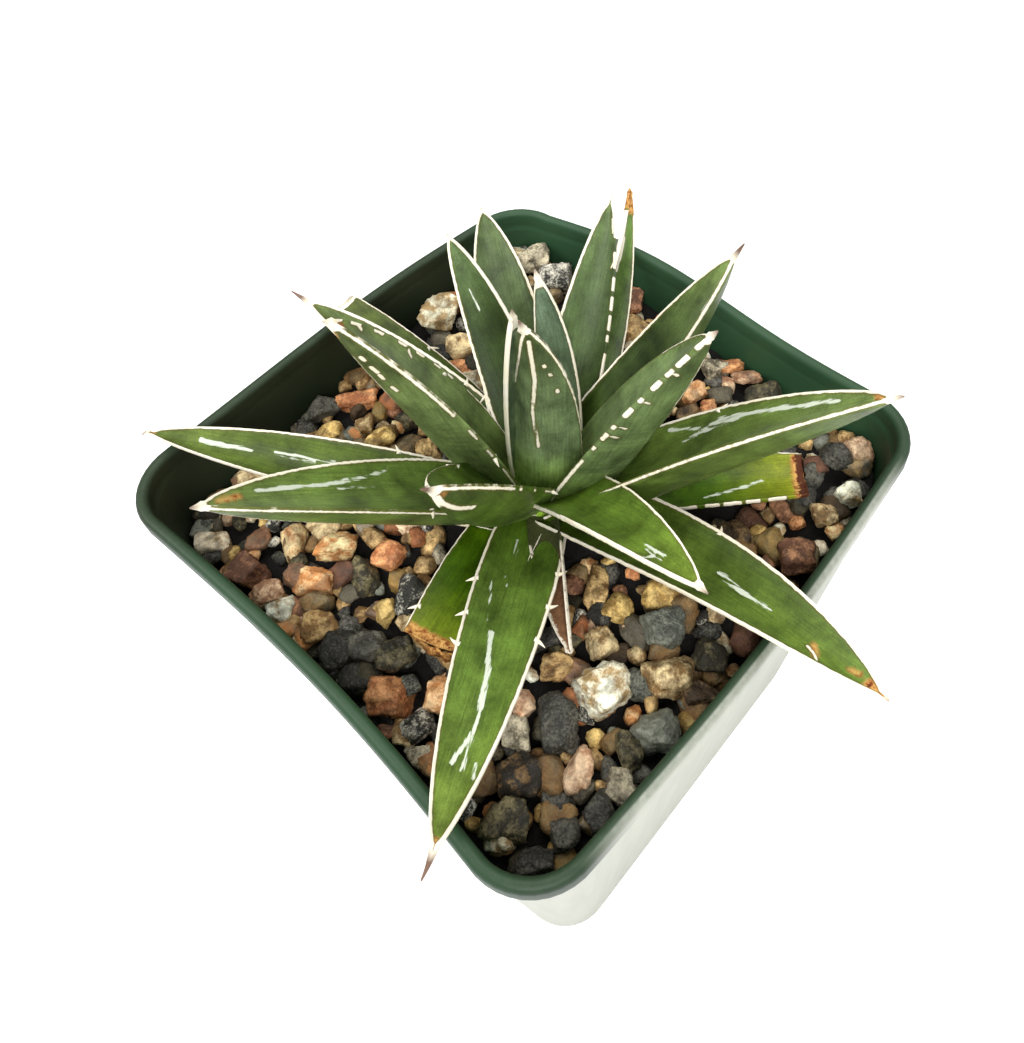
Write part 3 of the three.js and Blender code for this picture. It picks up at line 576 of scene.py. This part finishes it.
def leaf_surface(name, leaf):
    """Rings round the leaf, root to tip, with each point's place on it.

    At half width h and place p across, the upper face stands at 0.21 + (c·h + 0.14)·p², the back at
    c·h − (c·h + k)·(1 − |p|^1.4) − 0.35·|p|, for channel c and keel k, and the margin rounds
    the gap between them. A horny bead stands 0.14 mm proud along each margin, and 0.1 mm at the back."""
    length, left = leaf.length, leaf.left
    share, line, directions = leaf_course(leaf)
    keep = share <= left + 1e-9
    share, line, along, across, upper = (v[keep] for v in (share, line, *directions))
    ragged = 1 + 0.012 * wave(share * length, len(name) + int(length * 10), 1.0, 6.0)
    half = half_width(leaf, share) * ragged
    if left == 1:
        reach = np.linspace(0, 1, 19)[1:]
        grown = reach * (SPINE_ROOT + leaf.spine)
        drop, aside = SPINE_BENDS.get(name, (0, 0))
        bent = (across[-1] * aside - upper[-1] * drop) * (reach ** 2)[:, None]
        line = np.vstack([line, line[-1] + along[-1] * grown[:, None] + bent])
        share = np.concatenate([share, 1 + grown / length])
        half = np.concatenate([half, SPINE_HALF * (1 - 0.82 * reach ** 0.8)])
        along, across, upper = (np.vstack([v, np.repeat(v[-1:], len(reach), 0)])
                                for v in (along, across, upper))
    h = half[:, None]
    torn = np.clip((share - left + 0.03) / 0.03, 0, 1)[:, None] * (left < 1)
    thin = np.minimum(1, half / SPINE_HALF)[:, None]
    wing = leaf.channel * h
    keel = np.maximum(leaf.keel * h, 0.4 * thin)
    edge = EDGE_HALF * thin
    t = np.linspace(-1, 1, 2 * SECTION_HALF + 1)[None]
    up = np.sin(t * np.pi / 2)
    bead = np.exp(-((1 - np.abs(up)) * h / BEAD_REACH) ** 2)
    upper_height = 0.6 * edge + (wing + 0.4 * edge) * up ** 2 + 0.14 * bead * np.minimum(1, h)
    corner = np.linspace(np.pi / 2, -np.pi / 2, 5)[1:-1][None]
    rim_place = 1 + 0.12 * np.cos(corner) / np.maximum(h, SPINE_HALF)
    rim_height = wing + edge * np.sin(corner)
    down = -up
    back_height = wing - (wing + keel) * (1 - np.abs(down) ** 1.4) - edge * np.abs(down)
    back_height -= 0.1 * bead * np.minimum(1, h)
    places = np.hstack([up + 0 * h, rim_place, down + 0 * h, -rim_place[:, ::-1]])
    heights = np.hstack([upper_height, rim_height, back_height, rim_height[:, ::-1]])
    face = np.concatenate([np.ones(t.size), np.zeros(3), -np.ones(t.size), np.zeros(3)]) + 0 * places
    points = line[:, None] + across[:, None] * (places * h)[..., None] + upper[:, None] * heights[..., None]
    jag = 0.7 * wave(places * 3.1 + 5 * (heights > wing), int(length), 1.0, 5.0) * torn
    points = points + along[:, None] * jag[..., None]
    gaps = np.linalg.norm(np.diff(np.concatenate([points, points[:, :1]], 1), axis=1), axis=2)
    run = np.concatenate([0 * h, np.cumsum(gaps, 1)], 1)
    around, run = run[:, -1:], run[:, :-1]
    middles = np.where(places > 0, run[:, t.size + 1, None], run[:, 2 * t.size + 4, None])
    off = np.abs(run - middles)
    on_edge = np.minimum(off, around - off)
    on_edge[:, :t.size + 1] -= UPPER_MARGIN
    along_mm = (share * length)[:, None] + 0 * places
    return points, along_mm, places, face, on_edge, half


def margin_distance(along_mm, places, on_edge, spans, length):
    """Signed distance in mm to the white horny line, worked over the skin round the leaf's edge.

    The distance round the edge starts from the middle of its thickness. A span is a band of its
    width with rounded ends, a little uneven."""
    result = np.full(places.shape, FAR)
    for side, side_spans in zip((-1, 1), spans):
        for start, end, width in side_spans:
            past = np.abs(along_mm - (start + end) / 2 * length) - (end - start) / 2 * length
            past = past if end < 1 else start * length - along_mm
            wide = width / 2 + 0.06 * wave(along_mm, int(width * 100) + side + 7, 0.5, 4.0)
            curve = min(0.25, abs(width) / 3)
            off = np.hypot(np.maximum(on_edge - wide + curve, 0), np.maximum(past + curve, 0)) - curve
            result = np.where(places * side > 0, np.minimum(result, off), result)
    return result


def tooth_horns(leaf, places):
    """Small hooked horns on the margins: a tapered tube bent along the leaf, at each place given.

    A horn leaves the margin 1.6 mm outwards with its lean, and bends by 0.6·t² the way it leans."""
    _, line, (along, across, upper) = leaf_course(leaf)
    horns = []
    for share, side, lean in places:
        i = min(LEAF_STEPS, int(round(share * LEAF_STEPS)))
        half = half_width(leaf, share)
        out = across[i] * side + along[i] * lean
        out /= np.linalg.norm(out)
        seat = line[i] + across[i] * side * half + upper[i] * leaf.channel * half - out * 0.5
        hook = along[i] * (-1 if lean < 0 else 1)
        t = np.linspace(0, 1, 8)[:, None]
        centre = seat + out * 1.6 * t + hook * 0.6 * t ** 2
        radius = 0.42 * (1 - t[..., None]) ** 0.9 + 0.05
        turn = np.linspace(0, 2 * np.pi, 9)[:-1, None]
        ring = centre[:, None] + radius * (upper[i] * np.cos(turn) + np.cross(out, upper[i]) * np.sin(turn))
        horns.append(skin(ring, centre[0], centre[-1] + out * 0.08))
    return horns


# Living leaf: a firm, waxy, fine-grained skin, satin to the eye, with faint fibres along it. The
# horny margin is dense and ivory white, and dead patches are dry, brown and cork-like.
leaf_skin, place = blank("waxy_leaf_skin")
on_leaf = attribute("on_leaf", "Vector")
cloud = noise(place, 190, 4, 0.6)
fibre = noise(stretched(on_leaf, (3.2, 0.12, 1)), 1.6, 3)
pores = noise(place, 3600, 2)
ragged = noise(place, 1300, 3, 0.7)
drawn = noise(stretched(on_leaf, (2.6, 0.3, 1)), 1, 4, 0.65)
shade = ramp(cloud, 0.3, 0.7, 0.45, 1.5)
shade = times(shade, ramp(fibre, 0.3, 0.7, 0.8, 1.2))
shade = times(shade, ramp(pores, 0.3, 0.7, 0.86, 1.16))
colour = scaled(attribute("green", "Color"), shade)
# Pale streaks, partly painted highlights and partly pale marks in the bloom, laid over the green.
sheen_and_wax_distance = plus(attribute("wax"), ramp(drawn, 0.3, 0.7, -0.22, 0.22))
colour = mixed(ramp(sheen_and_wax_distance, 0.04, -0.08, 0, 0.92), colour, "#d6dccb")
corky = plus(attribute("brown"), ramp(ragged, 0.3, 0.7, -0.3, 0.3))
corky_share = ramp(corky, 0.35, -0.3)
rust = mixed(ramp(ragged, 0.38, 0.62), "#8a4e22", "#d8a860")
rust = mixed(ramp(corky, -0.55, -0.85, 0, 0.95), rust, "#4a2014")
colour = mixed(corky_share, colour, rust)
horny = plus(attribute("white"), ramp(ragged, 0.25, 0.75, -0.06, 0.06))
horny_share = ramp(horny, 0.05, -0.05)
horn = mixed(cloud, "#f0e2bd", "#fffaf0")
horn = mixed(ramp(attribute("past_tip"), -0.3, 1.2), horn, "#7d6455")
colour = mixed(ramp(horny, 0.34, 0.02, 0, 0.7), colour, "#5a5424")
colour = mixed(horny_share, colour, horn)
relief = bump(pores, 0.15, 0.00006, bump(fibre, 0.25, 0.0002))
relief = bump(horny_share, 0.4, 0.0001, relief)
satin = ramp(cloud, 0.3, 0.7, 0.32, 0.44)
roughness = add("Mix", {0: corky_share, 2: satin, 3: 0.8}).outputs[0]
surface(colour, roughness, {"IOR": 1.4, "Specular IOR Level": 0.32, "Subsurface Weight": 0.08,
                            "Subsurface Radius": (0.0008, 0.0012, 0.0004), "Normal": relief})

# Dead leaf: papery and brown with torn pale edges, and still green for its first 9 mm.
dead_leaf, place = blank("dry_leaf_tissue")
_, from_root, _ = add("SeparateXYZ", {0: attribute("on_leaf", "Vector")}).outputs
torn = noise(place, 1400, 4, 0.75)
colour = mixed(torn, "#3a2014", "#a07248")
alive = ramp(from_root, 9, 11.5, 0.9, 0)
colour = mixed(alive, colour, attribute("green", "Color"))
edge = plus(attribute("white"), ramp(torn, 0.25, 0.75, -0.5, 0.5))
colour = mixed(ramp(edge, 0.15, -0.15), colour, "#efe6d2")
surface(colour, 0.85, {"Normal": bump(torn, 0.7, 0.0004)})

tooth_draw = drawn_from(20211)
for name, leaf in LEAVES.items():
    length, left = leaf.length, leaf.left
    points, along_mm, places, face, on_edge, half = leaf_surface(name, leaf)
    across_mm = places * half[:, None]
    lines, wax, brown = (near_line(leaf, along_mm, across_mm, face, marks.get(name, []))
                         for marks in (WHITE_LINES, SHEEN_AND_WAX_MARKS, BROWN_PATCHES))
    whole = [[(0, 1, width)] for width in MARGINS.get(name, USUAL_MARGIN)]
    white = margin_distance(along_mm, places, on_edge, BROKEN_MARGINS.get(name, whole), length)
    white = np.minimum(white, lines)
    brown = np.maximum(brown, DARKEST)
    if left == 1 and name != "dried_leaf":
        white = np.minimum(white, (WHITE_TIPS.get(name, USUAL_TIP) * length - along_mm) * 0.6)
    if name == "leaf_12":
        white = np.where(brown < 0.2, FAR, white)
    if left < 1:
        cut_edge = left * length - along_mm
        if name == "cut_leaf_back":
            white = np.minimum(white, cut_edge - 1.0)
        brown = np.minimum(brown, cut_edge - CUT_BANDS[name])
        if name != "cut_leaf_right":
            brown = np.maximum(brown, DARKEST)
    tones = np.array([linear(c) for c in GREENS[name]])
    s = np.clip(along_mm / (length * left), 0, 1)
    low = np.clip(1 - s / 0.35, 0, 1)[..., None]
    high = np.clip((s - 0.6) / 0.4, 0, 1)[..., None] ** 1.5
    tone = tones[0] * low + tones[2] * high + tones[1] * (1 - low - high)
    # Painted shade: the back face is darkened by up to half towards the tip.
    tone = tone * (1 - 0.5 * high * (face[..., None] < 0))
    verts, faces = skin(points, points[0].mean(0), points[-1].mean(0))
    values = {"white": white, "wax": wax, "brown": brown, "past_tip": along_mm - length - 0.2}
    values = {k: np.concatenate([v.ravel(), [v[0, 0], v[-1, SECTION_HALF]]]) for k, v in values.items()}
    for key, grid in (("green", tone), ("on_leaf", np.stack([across_mm, along_mm, face], -1))):
        values[key] = np.vstack([grid.reshape(-1, grid.shape[2]), grid[0, :1], grid[-1, :1]])
    if left < 1:
        values["brown"][-1] = DARKEST
        values["white"][-1] = -1.0 if name == "cut_leaf_back" else FAR
    teeth = [(0.2 + 0.35 * (i + next(tooth_draw)) / leaf.teeth, 1 if i % 2 else -1,
              -0.4 + 0.8 * next(tooth_draw)) for i in range(leaf.teeth)]
    for horn_points, horn_faces in tooth_horns(leaf, teeth):
        faces += [[v + len(verts) for v in f] for f in horn_faces]
        verts = np.vstack([verts, horn_points])
        for key, value in {"white": -1.0, "wax": FAR, "brown": FAR, "past_tip": -FAR,
                           "green": tones[1], "on_leaf": horn_points}.items():
            shape = (len(horn_points), *values[key].shape[1:])
            values[key] = np.concatenate([values[key], np.broadcast_to(value, shape)])
    dead = name == "dried_leaf"
    piece(name + "_skin", verts, faces, dead_leaf if dead else leaf_skin, "dried_leaf" if dead else "leaf",
          name, **values)

# --- Gravel -------------------------------------------------------------------------------------
# A top dressing of mixed river gravel, tumbled and dry, 4 to 9 mm: slate, basalt, quartzite,
# granite and sandstone. It lies loose on dark gritty soil, heaped a little towards +X.

BED_LEVEL = 67.5
SLOPE_X = 0.07
SLOPE_Y = 0.02
# The gaps between a stone and the leaf over it, and between the bed and the pot's wall.
LEAF_GAP = 0.9
WALL_GAP = 0.3
# Each kind of stone: its colour, its specks' colour, how much of it they cover, and how coarsely.
KINDS = {
    "slate": ("#50534a", "#8a8c7c", 0.4, 0.2), "basalt": ("#201f19", "#6a675a", 0.36, 0.35),
    "cream": ("#f4e6c8", "#a88c5e", 0.38, 0.85), "beige": ("#dcc594", "#86683e", 0.4, 0.8),
    "tan": ("#d0ae74", "#7a5a30", 0.4, 0.85), "pink": ("#e4c49e", "#a07454", 0.4, 0.85),
    "orange": ("#e6a66e", "#a8683e", 0.4, 0.8), "yellow": ("#dcbc74", "#94743a", 0.38, 0.8),
    "olive": ("#7a704e", "#2c2818", 0.43, 0.7), "rust": ("#8a6a3e", "#221c12", 0.45, 0.8),
    "redbrown": ("#ac7c58", "#6a4632", 0.4, 0.75), "salt": ("#e2dcc8", "#26251e", 0.44, 0.6),
    "brown": ("#92754c", "#40301c", 0.42, 0.8), "grey": ("#b4a98e", "#5a5340", 0.4, 0.7),
    "peach": ("#f6cc98", "#c4854c", 0.4, 0.85),
}
SMALL_KINDS = ["beige", "tan", "basalt", "peach", "slate", "cream", "tan", "brown", "yellow", "grey",
               "basalt", "pink", "beige", "olive", "salt", "orange", "cream", "redbrown", "tan"]
# A stone's place, length, width, turn, kind, how many of its widths it stands over the bed, and size.
Stone = namedtuple("Stone", "x y length width turn kind rise size")
stones = [Stone(*numbers, 0.22, "large") for numbers in [
    (-4, -30, 8, 7.5, 145, "slate"), (-16, -30, 8.5, 7.5, 155, "cream"), (-9, -35, 7.5, 7, 155, "beige"),
    (-16, -39, 7, 6.5, 145, "slate"), (-24, -28, 9, 6.5, 45, "basalt"), (-5, -19, 8, 4.5, 40, "tan"),
    (-11, -25, 5.5, 5, 45, "beige"), (0, -27, 6.5, 4.5, 135, "yellow"), (-37, -31, 8, 6.5, 135, "olive"),
    (-40, -31, 5.5, 5, 45, "cream"), (-32, -28, 7, 6.5, 135, "rust"), (-26, -34, 7, 4.5, 30, "pink"),
    (-28, -39, 6.5, 4.5, 35, "basalt"), (-18, -22, 6, 4.5, 120, "tan"), (-28, -24, 6, 4, 45, "grey"),
    (-3, -38, 6, 5.5, 45, "olive"), (-8, -41, 5.5, 4.5, 135, "brown"), (-20, -37, 6, 4.5, 45, "olive"),
    (-24, -41, 5, 4.5, 45, "grey"), (-33, -37, 5, 5, 135, "basalt"), (-38, -37, 6, 4.5, 135, "basalt"),
    (17, -39, 6.5, 6, 135, "redbrown"), (-36, -7, 8, 7.5, 45, "orange"), (-31, -12, 6.5, 5.5, 45, "peach"),
    (-40, 25, 7, 6, 100, "redbrown"), (-38, 19, 6.5, 4.5, 155, "pink"), (-32, 15, 7.5, 5.5, 135, "peach"),
    (-36, 9, 6.5, 5.5, 135, "tan"), (-28, 3, 5.5, 4, 45, "yellow"), (-24, 2, 6.5, 5, 45, "salt"),
    (-33, 1, 6, 5.5, 45, "basalt"), (-39, 4, 6.5, 6, 45, "basalt"), (-31, -3, 7, 5.5, 165, "olive"),
    (-36, -13, 5.5, 5, 45, "salt"), (-40, -12, 4.5, 4, 45, "beige"), (-40, -16, 4.5, 3.5, 135, "grey"),
    (-26, 17, 7.5, 6, 135, "peach"), (-5, 36, 8.5, 4.5, 145, "orange"), (-13, 35, 5, 4.5, 135, "yellow"),
    (-8, 31, 4.5, 4, 45, "beige"), (-5, 18, 7, 4.5, 55, "tan"), (17, 38, 8.5, 8, 135, "cream"),
    (-11, 41, 7.5, 5, 155, "basalt"), (39, 34, 8, 6.5, 155, "grey"), (37, 27, 7, 7, 135, "salt"),
    (42, 12, 6.5, 5, 35, "redbrown"), (34, 5, 5, 4.5, 135, "cream"), (42, -10, 7, 3, 135, "orange"),
    (41, -14, 5.5, 3, 135, "pink"), (39, -19, 7.5, 5.5, 135, "olive"), (32, -9, 4.5, 4.5, 135, "peach"),
    (31, -13, 3.5, 3.5, 135, "orange"), (40, -37, 5, 5, 135, "pink"), (36, -34, 5.5, 5.5, 135, "basalt"),
    (31, -40, 5, 4.5, 135, "cream"), (26, -38, 5, 4, 135, "beige"),
]]


def bed_height(x, y):
    return BED_LEVEL + SLOPE_X * x + SLOPE_Y * y


def headroom(x, y, width):
    """The lowest underside of any leaf over a stone, with a gap below it."""
    room = math.inf
    for leaf in LEAVES.values():
        share, line, _ = leaf_course(leaf)
        shares = np.arange(0, leaf.left + 1e-9, 0.05)
        half = half_width(leaf, shares)
        centre = np.stack([np.interp(shares, share, line[:, k]) for k in range(3)], -1)
        near = np.hypot(centre[:, 0] - x, centre[:, 1] - y) < half + width / 2
        if near.any():
            room = min(room, float((centre[:, 2] - leaf.keel * half - LEAF_GAP)[near].min()))
    return room


def scatter(layer, draw, tries, size, lengths, rises, crowding, hop):
    """Adds stones of drawn length and rise at drawn places, where the layer's other stones leave room.

    Two stones stand apart by at least crowding times the mean of their widths. A length or a rise
    is its first number plus its second times a draw. A rise whose second is 0 takes no draw."""
    reach = wall_half(BED_LEVEL) - WALL
    for _ in range(tries):
        x = reach * (2 * next(draw) - 1)
        y = reach * (2 * next(draw) - 1)
        length = lengths[0] + lengths[1] * next(draw)
        width = length * (0.65 + 0.3 * next(draw))
        turn = 180 * next(draw)
        rise = rises[0] + (rises[1] * next(draw) if rises[1] else 0)
        if all(math.hypot(o.x - x, o.y - y) >= crowding * (o.width + width) / 2 for o in layer):
            kind = SMALL_KINDS[len(layer) * hop % len(SMALL_KINDS)]
            layer.append(Stone(x, y, length, width, turn, kind, rise, size))


scatter(stones, drawn_from(4711), 420, "medium", (4, 2.8), (0, 0.22), 0.95, 7)
draw = drawn_from(815)
scatter(stones, draw, 1300, "small", (2.2, 2.0), (0, -0.3), 0.78, 5)
# A lower layer shows in the gaps between them, darkened as painted shade.
under = []
scatter(under, draw, 900, "under", (3.6, 3.2), (-0.06, 0), 0.9, 11)


def ball(subdivisions):
    """Directions evenly spread over a ball, with the triangles between them."""
    builder = bmesh.new()
    bmesh.ops.create_icosphere(builder, subdivisions=subdivisions, radius=1)
    verts = np.array([v.co[:] for v in builder.verts])
    faces = np.array([[v.index for v in f.verts] for f in builder.faces])
    builder.free()
    return verts, faces


def stone_shape(ways, randoms, hardness):
    """A tumbled stone: a rough block with six leaning sides, whose corners are cut and worn round.

    Along a direction d the radius is (Σ max(0, d·n/r)^m + 1.12^−m)^(−1/m) over the faces' normals
    n at distances r, and m sets how sharp the edges are. Slow and quick waves dent it."""
    sides = np.vstack([np.eye(3), -np.eye(3)]) + 0.3 * randoms.normal(size=(6, 3))
    normals = np.vstack([sides, randoms.normal(size=(5, 3))])
    normals /= np.linalg.norm(normals, axis=1)[:, None]
    distance = np.concatenate([randoms.uniform(0.6, 0.85, 6), randoms.uniform(0.78, 1.0, 5)])
    reach = np.maximum(0, ways @ normals.T / distance) ** hardness
    radius = (reach.sum(1) + 1.12 ** -hardness) ** (-1 / hardness)

    def waves(pitch, count):
        return sum(np.sin(ways @ randoms.normal(size=3) * pitch + randoms.uniform(0, 6.28))
                   for _ in range(count))

    dents = waves(5, 4)
    return ways * (radius * (1 + 0.028 * dents + 0.02 * waves(12, 5)))[:, None]


# How far a side of the bed runs straight, and where its round corner's centre and edge lie.
STRAIGHT_HALF = 35
CORNER_CENTRE = 9.5
CORNER_REACH = 8.2


def kept_inside(points):
    """Moves a stone in from the pot's walls until it clears them by the wall gap.

    A wall stands at half width + bow, and a corner's edge at its reach from its centre. A stone
    moves by at most 0.7 of its own breadth from a wall. From a corner it moves by 0.72 of what is
    over, along X and along Y."""
    moved = points.copy()
    for quarter, (bulge, sway) in enumerate(SIDE_BOWS):
        cos, sin = np.cos(quarter * np.pi / 2), np.sin(quarter * np.pi / 2)
        out = moved[:, 0] * cos + moved[:, 1] * sin
        side = moved[:, 1] * cos - moved[:, 0] * sin
        a = np.clip(side / STRAIGHT_HALF, -1, 1)
        bow = moved[:, 2] / POT_HEIGHT * (bulge * np.cos(a * np.pi / 2) + sway * np.sin(a * np.pi))
        over = max(0.0, float((out - wall_half(moved[:, 2]) - bow + WALL + WALL_GAP).max()))
        over = min(over, 0.7 * float(np.ptp(out)))
        moved[:, 0] -= over * cos
        moved[:, 1] -= over * sin
    flat = wall_half(moved[:, 2]) - CORNER_CENTRE
    corner = np.maximum(np.abs(moved[:, :2]) - flat[:, None], 1e-6)
    past = (np.abs(moved[:, :2]) > flat[:, None]).all(1)
    over = np.where(past, np.hypot(corner[:, 0], corner[:, 1]) - CORNER_REACH, 0).max()
    if over > 0:
        moved[:, :2] -= np.sign(moved[:, :2].mean(0)) * over * 0.72
    return moved


BALLS = {"large": ball(4), "medium": ball(3), "small": ball(2), "under": ball(3)}


def lay(layer, seed):
    """Every stone of a layer in its place: points, triangles and, at each point, colours and look.

    A stone is scaled to its length, width and 0.84 of its width, tilted a little, turned, and sunk
    so that it clears the leaves above it. Its look is its own place in the noise, how much of it is
    speckled, and how coarsely."""
    randoms = np.random.default_rng(seed)
    points, faces, base, spot, look, total = [], [], [], [], [], 0
    for stone in layer:
        level = bed_height(stone.x, stone.y)
        room = headroom(stone.x, stone.y, stone.width) - 0.46 * stone.width
        z = min(level + stone.rise * stone.width, room)
        ways, triangles = BALLS[stone.size]
        shape = stone_shape(ways, randoms, randoms.uniform(14, 40))
        size = 1.12 if stone.size == "medium" else 1.0
        shape *= size * np.array([stone.length, stone.width, 0.84 * stone.width]) / 2 / np.abs(shape).max(0)
        tilt = math.radians(randoms.uniform(-14, 14))
        turn = math.radians(stone.turn)
        colour, specks, speckled, coarseness = KINDS[stone.kind]
        # Each stone's lightness varies at random, and the lower layer's is cut to 0.26 as painted shade in
        # the gaps.
        lightness_and_gap_shade = randoms.uniform(0.95, 1.45) * (0.26 if stone.size == "under" else 1)
        own_look = (randoms.uniform(0, 1), speckled + randoms.uniform(-0.05, 0.06), coarseness)
        if z <= level - stone.width * 0.45:
            continue
        across = shape[:, 1] * math.cos(tilt) - shape[:, 2] * math.sin(tilt)
        rise = shape[:, 1] * math.sin(tilt) + shape[:, 2] * math.cos(tilt)
        x = shape[:, 0] * math.cos(turn) - across * math.sin(turn) + stone.x
        y = shape[:, 0] * math.sin(turn) + across * math.cos(turn) + stone.y
        points.append(kept_inside(np.stack([x, y, rise + z], -1)))
        faces.append(triangles + total)
        total += len(ways)
        toned_and_gap_shaded = np.minimum(np.array(linear(colour)) * [lightness_and_gap_shade, lightness_and_gap_shade, lightness_and_gap_shade, 1], 1)
        for values, value in ((base, toned_and_gap_shaded), (spot, linear(specks)), (look, own_look)):
            values.append(np.tile(value, (len(ways), 1)))
    values = {"base": np.concatenate(base), "spot": np.concatenate(spot), "look": np.concatenate(look)}
    return np.concatenate(points), np.concatenate(faces).tolist(), values


# Dry stone: mottled by its minerals, grained at about a third of a millimetre, clouded along its
# veins, pitted and matt. Each stone has its own place in the pattern.
river_stone, place = blank("river_stone")
look = attribute("look", "Vector")
_, speckled, coarseness = add("SeparateXYZ", {0: look}).outputs
own = add("VectorMath", {0: look, 1: (0.37, 0.61, 0.83)}, operation="MULTIPLY").outputs[0]
place = add("VectorMath", {0: place, 1: own}, operation="ADD").outputs[0]
mottle = noise(place, 480, 5, 0.6)
grain = noise(place, 2600, 3, 0.7)
veins = noise(place, 300, 3, distortion=1.4)
speck = add("Mix", {0: coarseness, 2: grain, 3: mottle}).outputs[0]
spotted = ramp(speck, plus(speckled, 0.02), plus(speckled, 0.2), 1, 0)
mineral = mixed(spotted, attribute("base", "Color"), attribute("spot", "Color"))
cloudy = ramp(veins, 0.3, 0.7, 0.55, 1.4)
colour = scaled(mineral, times(cloudy, ramp(grain, 0.3, 0.7, 0.8, 1.2)))
pits = bump(grain, 0.7, 0.00025, bump(mottle, 0.9, 0.0009))
dull = ramp(veins, 0.3, 0.7, 0.5, 0.8)
surface(colour, dull, {"IOR": 1.5, "Normal": pits})
for name, layer, seed in (("gravel_stones", stones, 12), ("gravel_under", under, 34)):
    points, faces, values = lay(layer, seed)
    piece(name, points, faces, river_stone, "gravel", "gravel_bed", **values)

SOIL_DEPTH = 1.6
SOIL_FOOT = 2.0


def soil_rings():
    """The soil's top: rings of the pot's inside at growing shares of its width.

    It lies below the bed's level by its depth, raised by seeded waves of grit of four pitches."""
    share = np.linspace(0.02, 1, 70)[:, None, None]
    ring = wall_ring(BED_LEVEL, WALL + WALL_GAP) * [1, 1, 0] * share
    x, y = ring[..., 0], ring[..., 1]
    rough = np.random.default_rng(5)
    height = 0 * x
    for pitch, size in ((0.5, 0.25), (1.1, 0.22), (2.3, 0.16), (3.7, 0.1)):
        for _ in range(5):
            a, b = rough.normal(size=2) * pitch
            height += size / 2.2 * np.sin(a * x + b * y + rough.uniform(0, 6.28))
    ring[..., 2] = bed_height(x, y) - SOIL_DEPTH + height
    return ring


# Gritty soil, crumbly and matt: dark soil, painted nearly black as shade in the gaps between the stones.
soil, place = blank("gritty_soil")
crumb = noise(place, 1100, 5, 0.75)
surface(mixed(crumb, "#060504", "#1c1710"), 0.9, {"Normal": bump(crumb, 1, 0.001)})
top = soil_rings()
sides = np.stack([wall_ring(z, WALL + WALL_GAP) for z in (SOIL_FOOT, 20, 40, 60)])
bottom = np.stack([sides[0] * [k, k, 1] for k in (0.3, 0.7)])
soil_skin = skin(np.concatenate([bottom, sides, top[::-1]]), (0, 0, SOIL_FOOT), (0, 0, top[0, :, 2].mean()))
piece("potting_soil", *soil_skin, soil, "gravel", "gravel_bed")

# --- Studio -------------------------------------------------------------------------------------
# A white sweep under a bright tent: soft boxes high on three sides and overhead, the nearest one
# the strongest, and the camera above the pot's near corner.

paper, _ = blank("white_paper")
surface(linear("#ffffff"), 0.9, {"Emission Color": linear("#ffffff"), "Emission Strength": 0.2})
PAPER_HALF = 3000
paper_corners = [(PAPER_HALF * x, PAPER_HALF * y, 0) for x, y in ((-1, -1), (1, -1), (1, 1), (-1, 1))]
floor = shown("paper_floor", mesh_of("paper_floor", paper_corners, [(0, 1, 2, 3)]))
floor.data.materials.append(paper)

world = bpy.data.worlds.new("studio_dome")
bpy.context.scene.world = world
world.use_nodes = True
dome = world.node_tree.nodes["Background"].inputs
dome["Color"].default_value = (1, 1, 1, 1)
dome["Strength"].default_value = 0.22


def stand(made, right, up, back, position):
    """Stands a lamp or camera at a position in metres, with its own X, Y and Z along the directions."""
    basis = np.eye(4)
    basis[:3] = np.stack([right, up, back, position], -1)
    made.matrix_world = Matrix(basis.tolist())


# Each soft box: its place in metres and its power in watts. They are equally wide and aim at the pot.
BOX_SIZE = 0.45
BOX_AIM = np.array([0, 0, 0.08])
BOXES = {"near_box": ((-0.42, -0.42, 0.62), 5.8), "right_box": ((0.42, -0.42, 0.62), 2.6),
         "left_box": ((-0.42, 0.42, 0.62), 4.0), "top_box": ((0.2, 0.2, 0.85), 3.0)}
for name, (position, power) in BOXES.items():
    lamp = bpy.data.lights.new(name, "AREA")
    lamp.size = BOX_SIZE
    lamp.energy = power
    way = BOX_AIM - np.array(position)
    way /= np.linalg.norm(way)
    side = np.cross(way, (0, 0, 1))
    side /= np.linalg.norm(side)
    stand(shown(name, lamp), side, np.cross(side, way), -way, position)

# The camera's place in mm, and its lens in pixels of a picture of this size: the focal length, and
# the point that the lens looks at squarely.
CAMERA_PLACE = (-52.2, -64.7, 193.7)
PICTURE_WIDTH, PICTURE_HEIGHT = 1024, 1043
FOCAL_LENGTH = 927.3
AXIS_X, AXIS_Y = 569.0, 355.3
SENSOR = 36
yaw, pitch, tilt = math.radians(45.31), math.radians(48.33), math.radians(-4.71)
look = np.array([math.cos(pitch) * math.cos(yaw), math.cos(pitch) * math.sin(yaw), -math.sin(pitch)])
right = np.array([math.sin(yaw), -math.cos(yaw), 0])
up = np.cross(right, look)
turned_right = math.cos(tilt) * right + math.sin(tilt) * up
turned_up = -math.sin(tilt) * right + math.cos(tilt) * up
camera_data = bpy.data.cameras.new("camera")
camera_data.sensor_fit = "AUTO"
camera_data.sensor_width = SENSOR
camera_data.lens = SENSOR * FOCAL_LENGTH / PICTURE_HEIGHT
camera_data.shift_x = (PICTURE_WIDTH / 2 - AXIS_X) / PICTURE_HEIGHT
camera_data.shift_y = (AXIS_Y - PICTURE_HEIGHT / 2) / PICTURE_HEIGHT
camera_data.clip_start = 0.01
camera = shown("camera", camera_data)
stand(camera, turned_right, turned_up, -look, np.array(CAMERA_PLACE) / 1000)
bpy.context.scene.camera = camera
bpy.context.scene.view_settings.view_transform = "Standard"
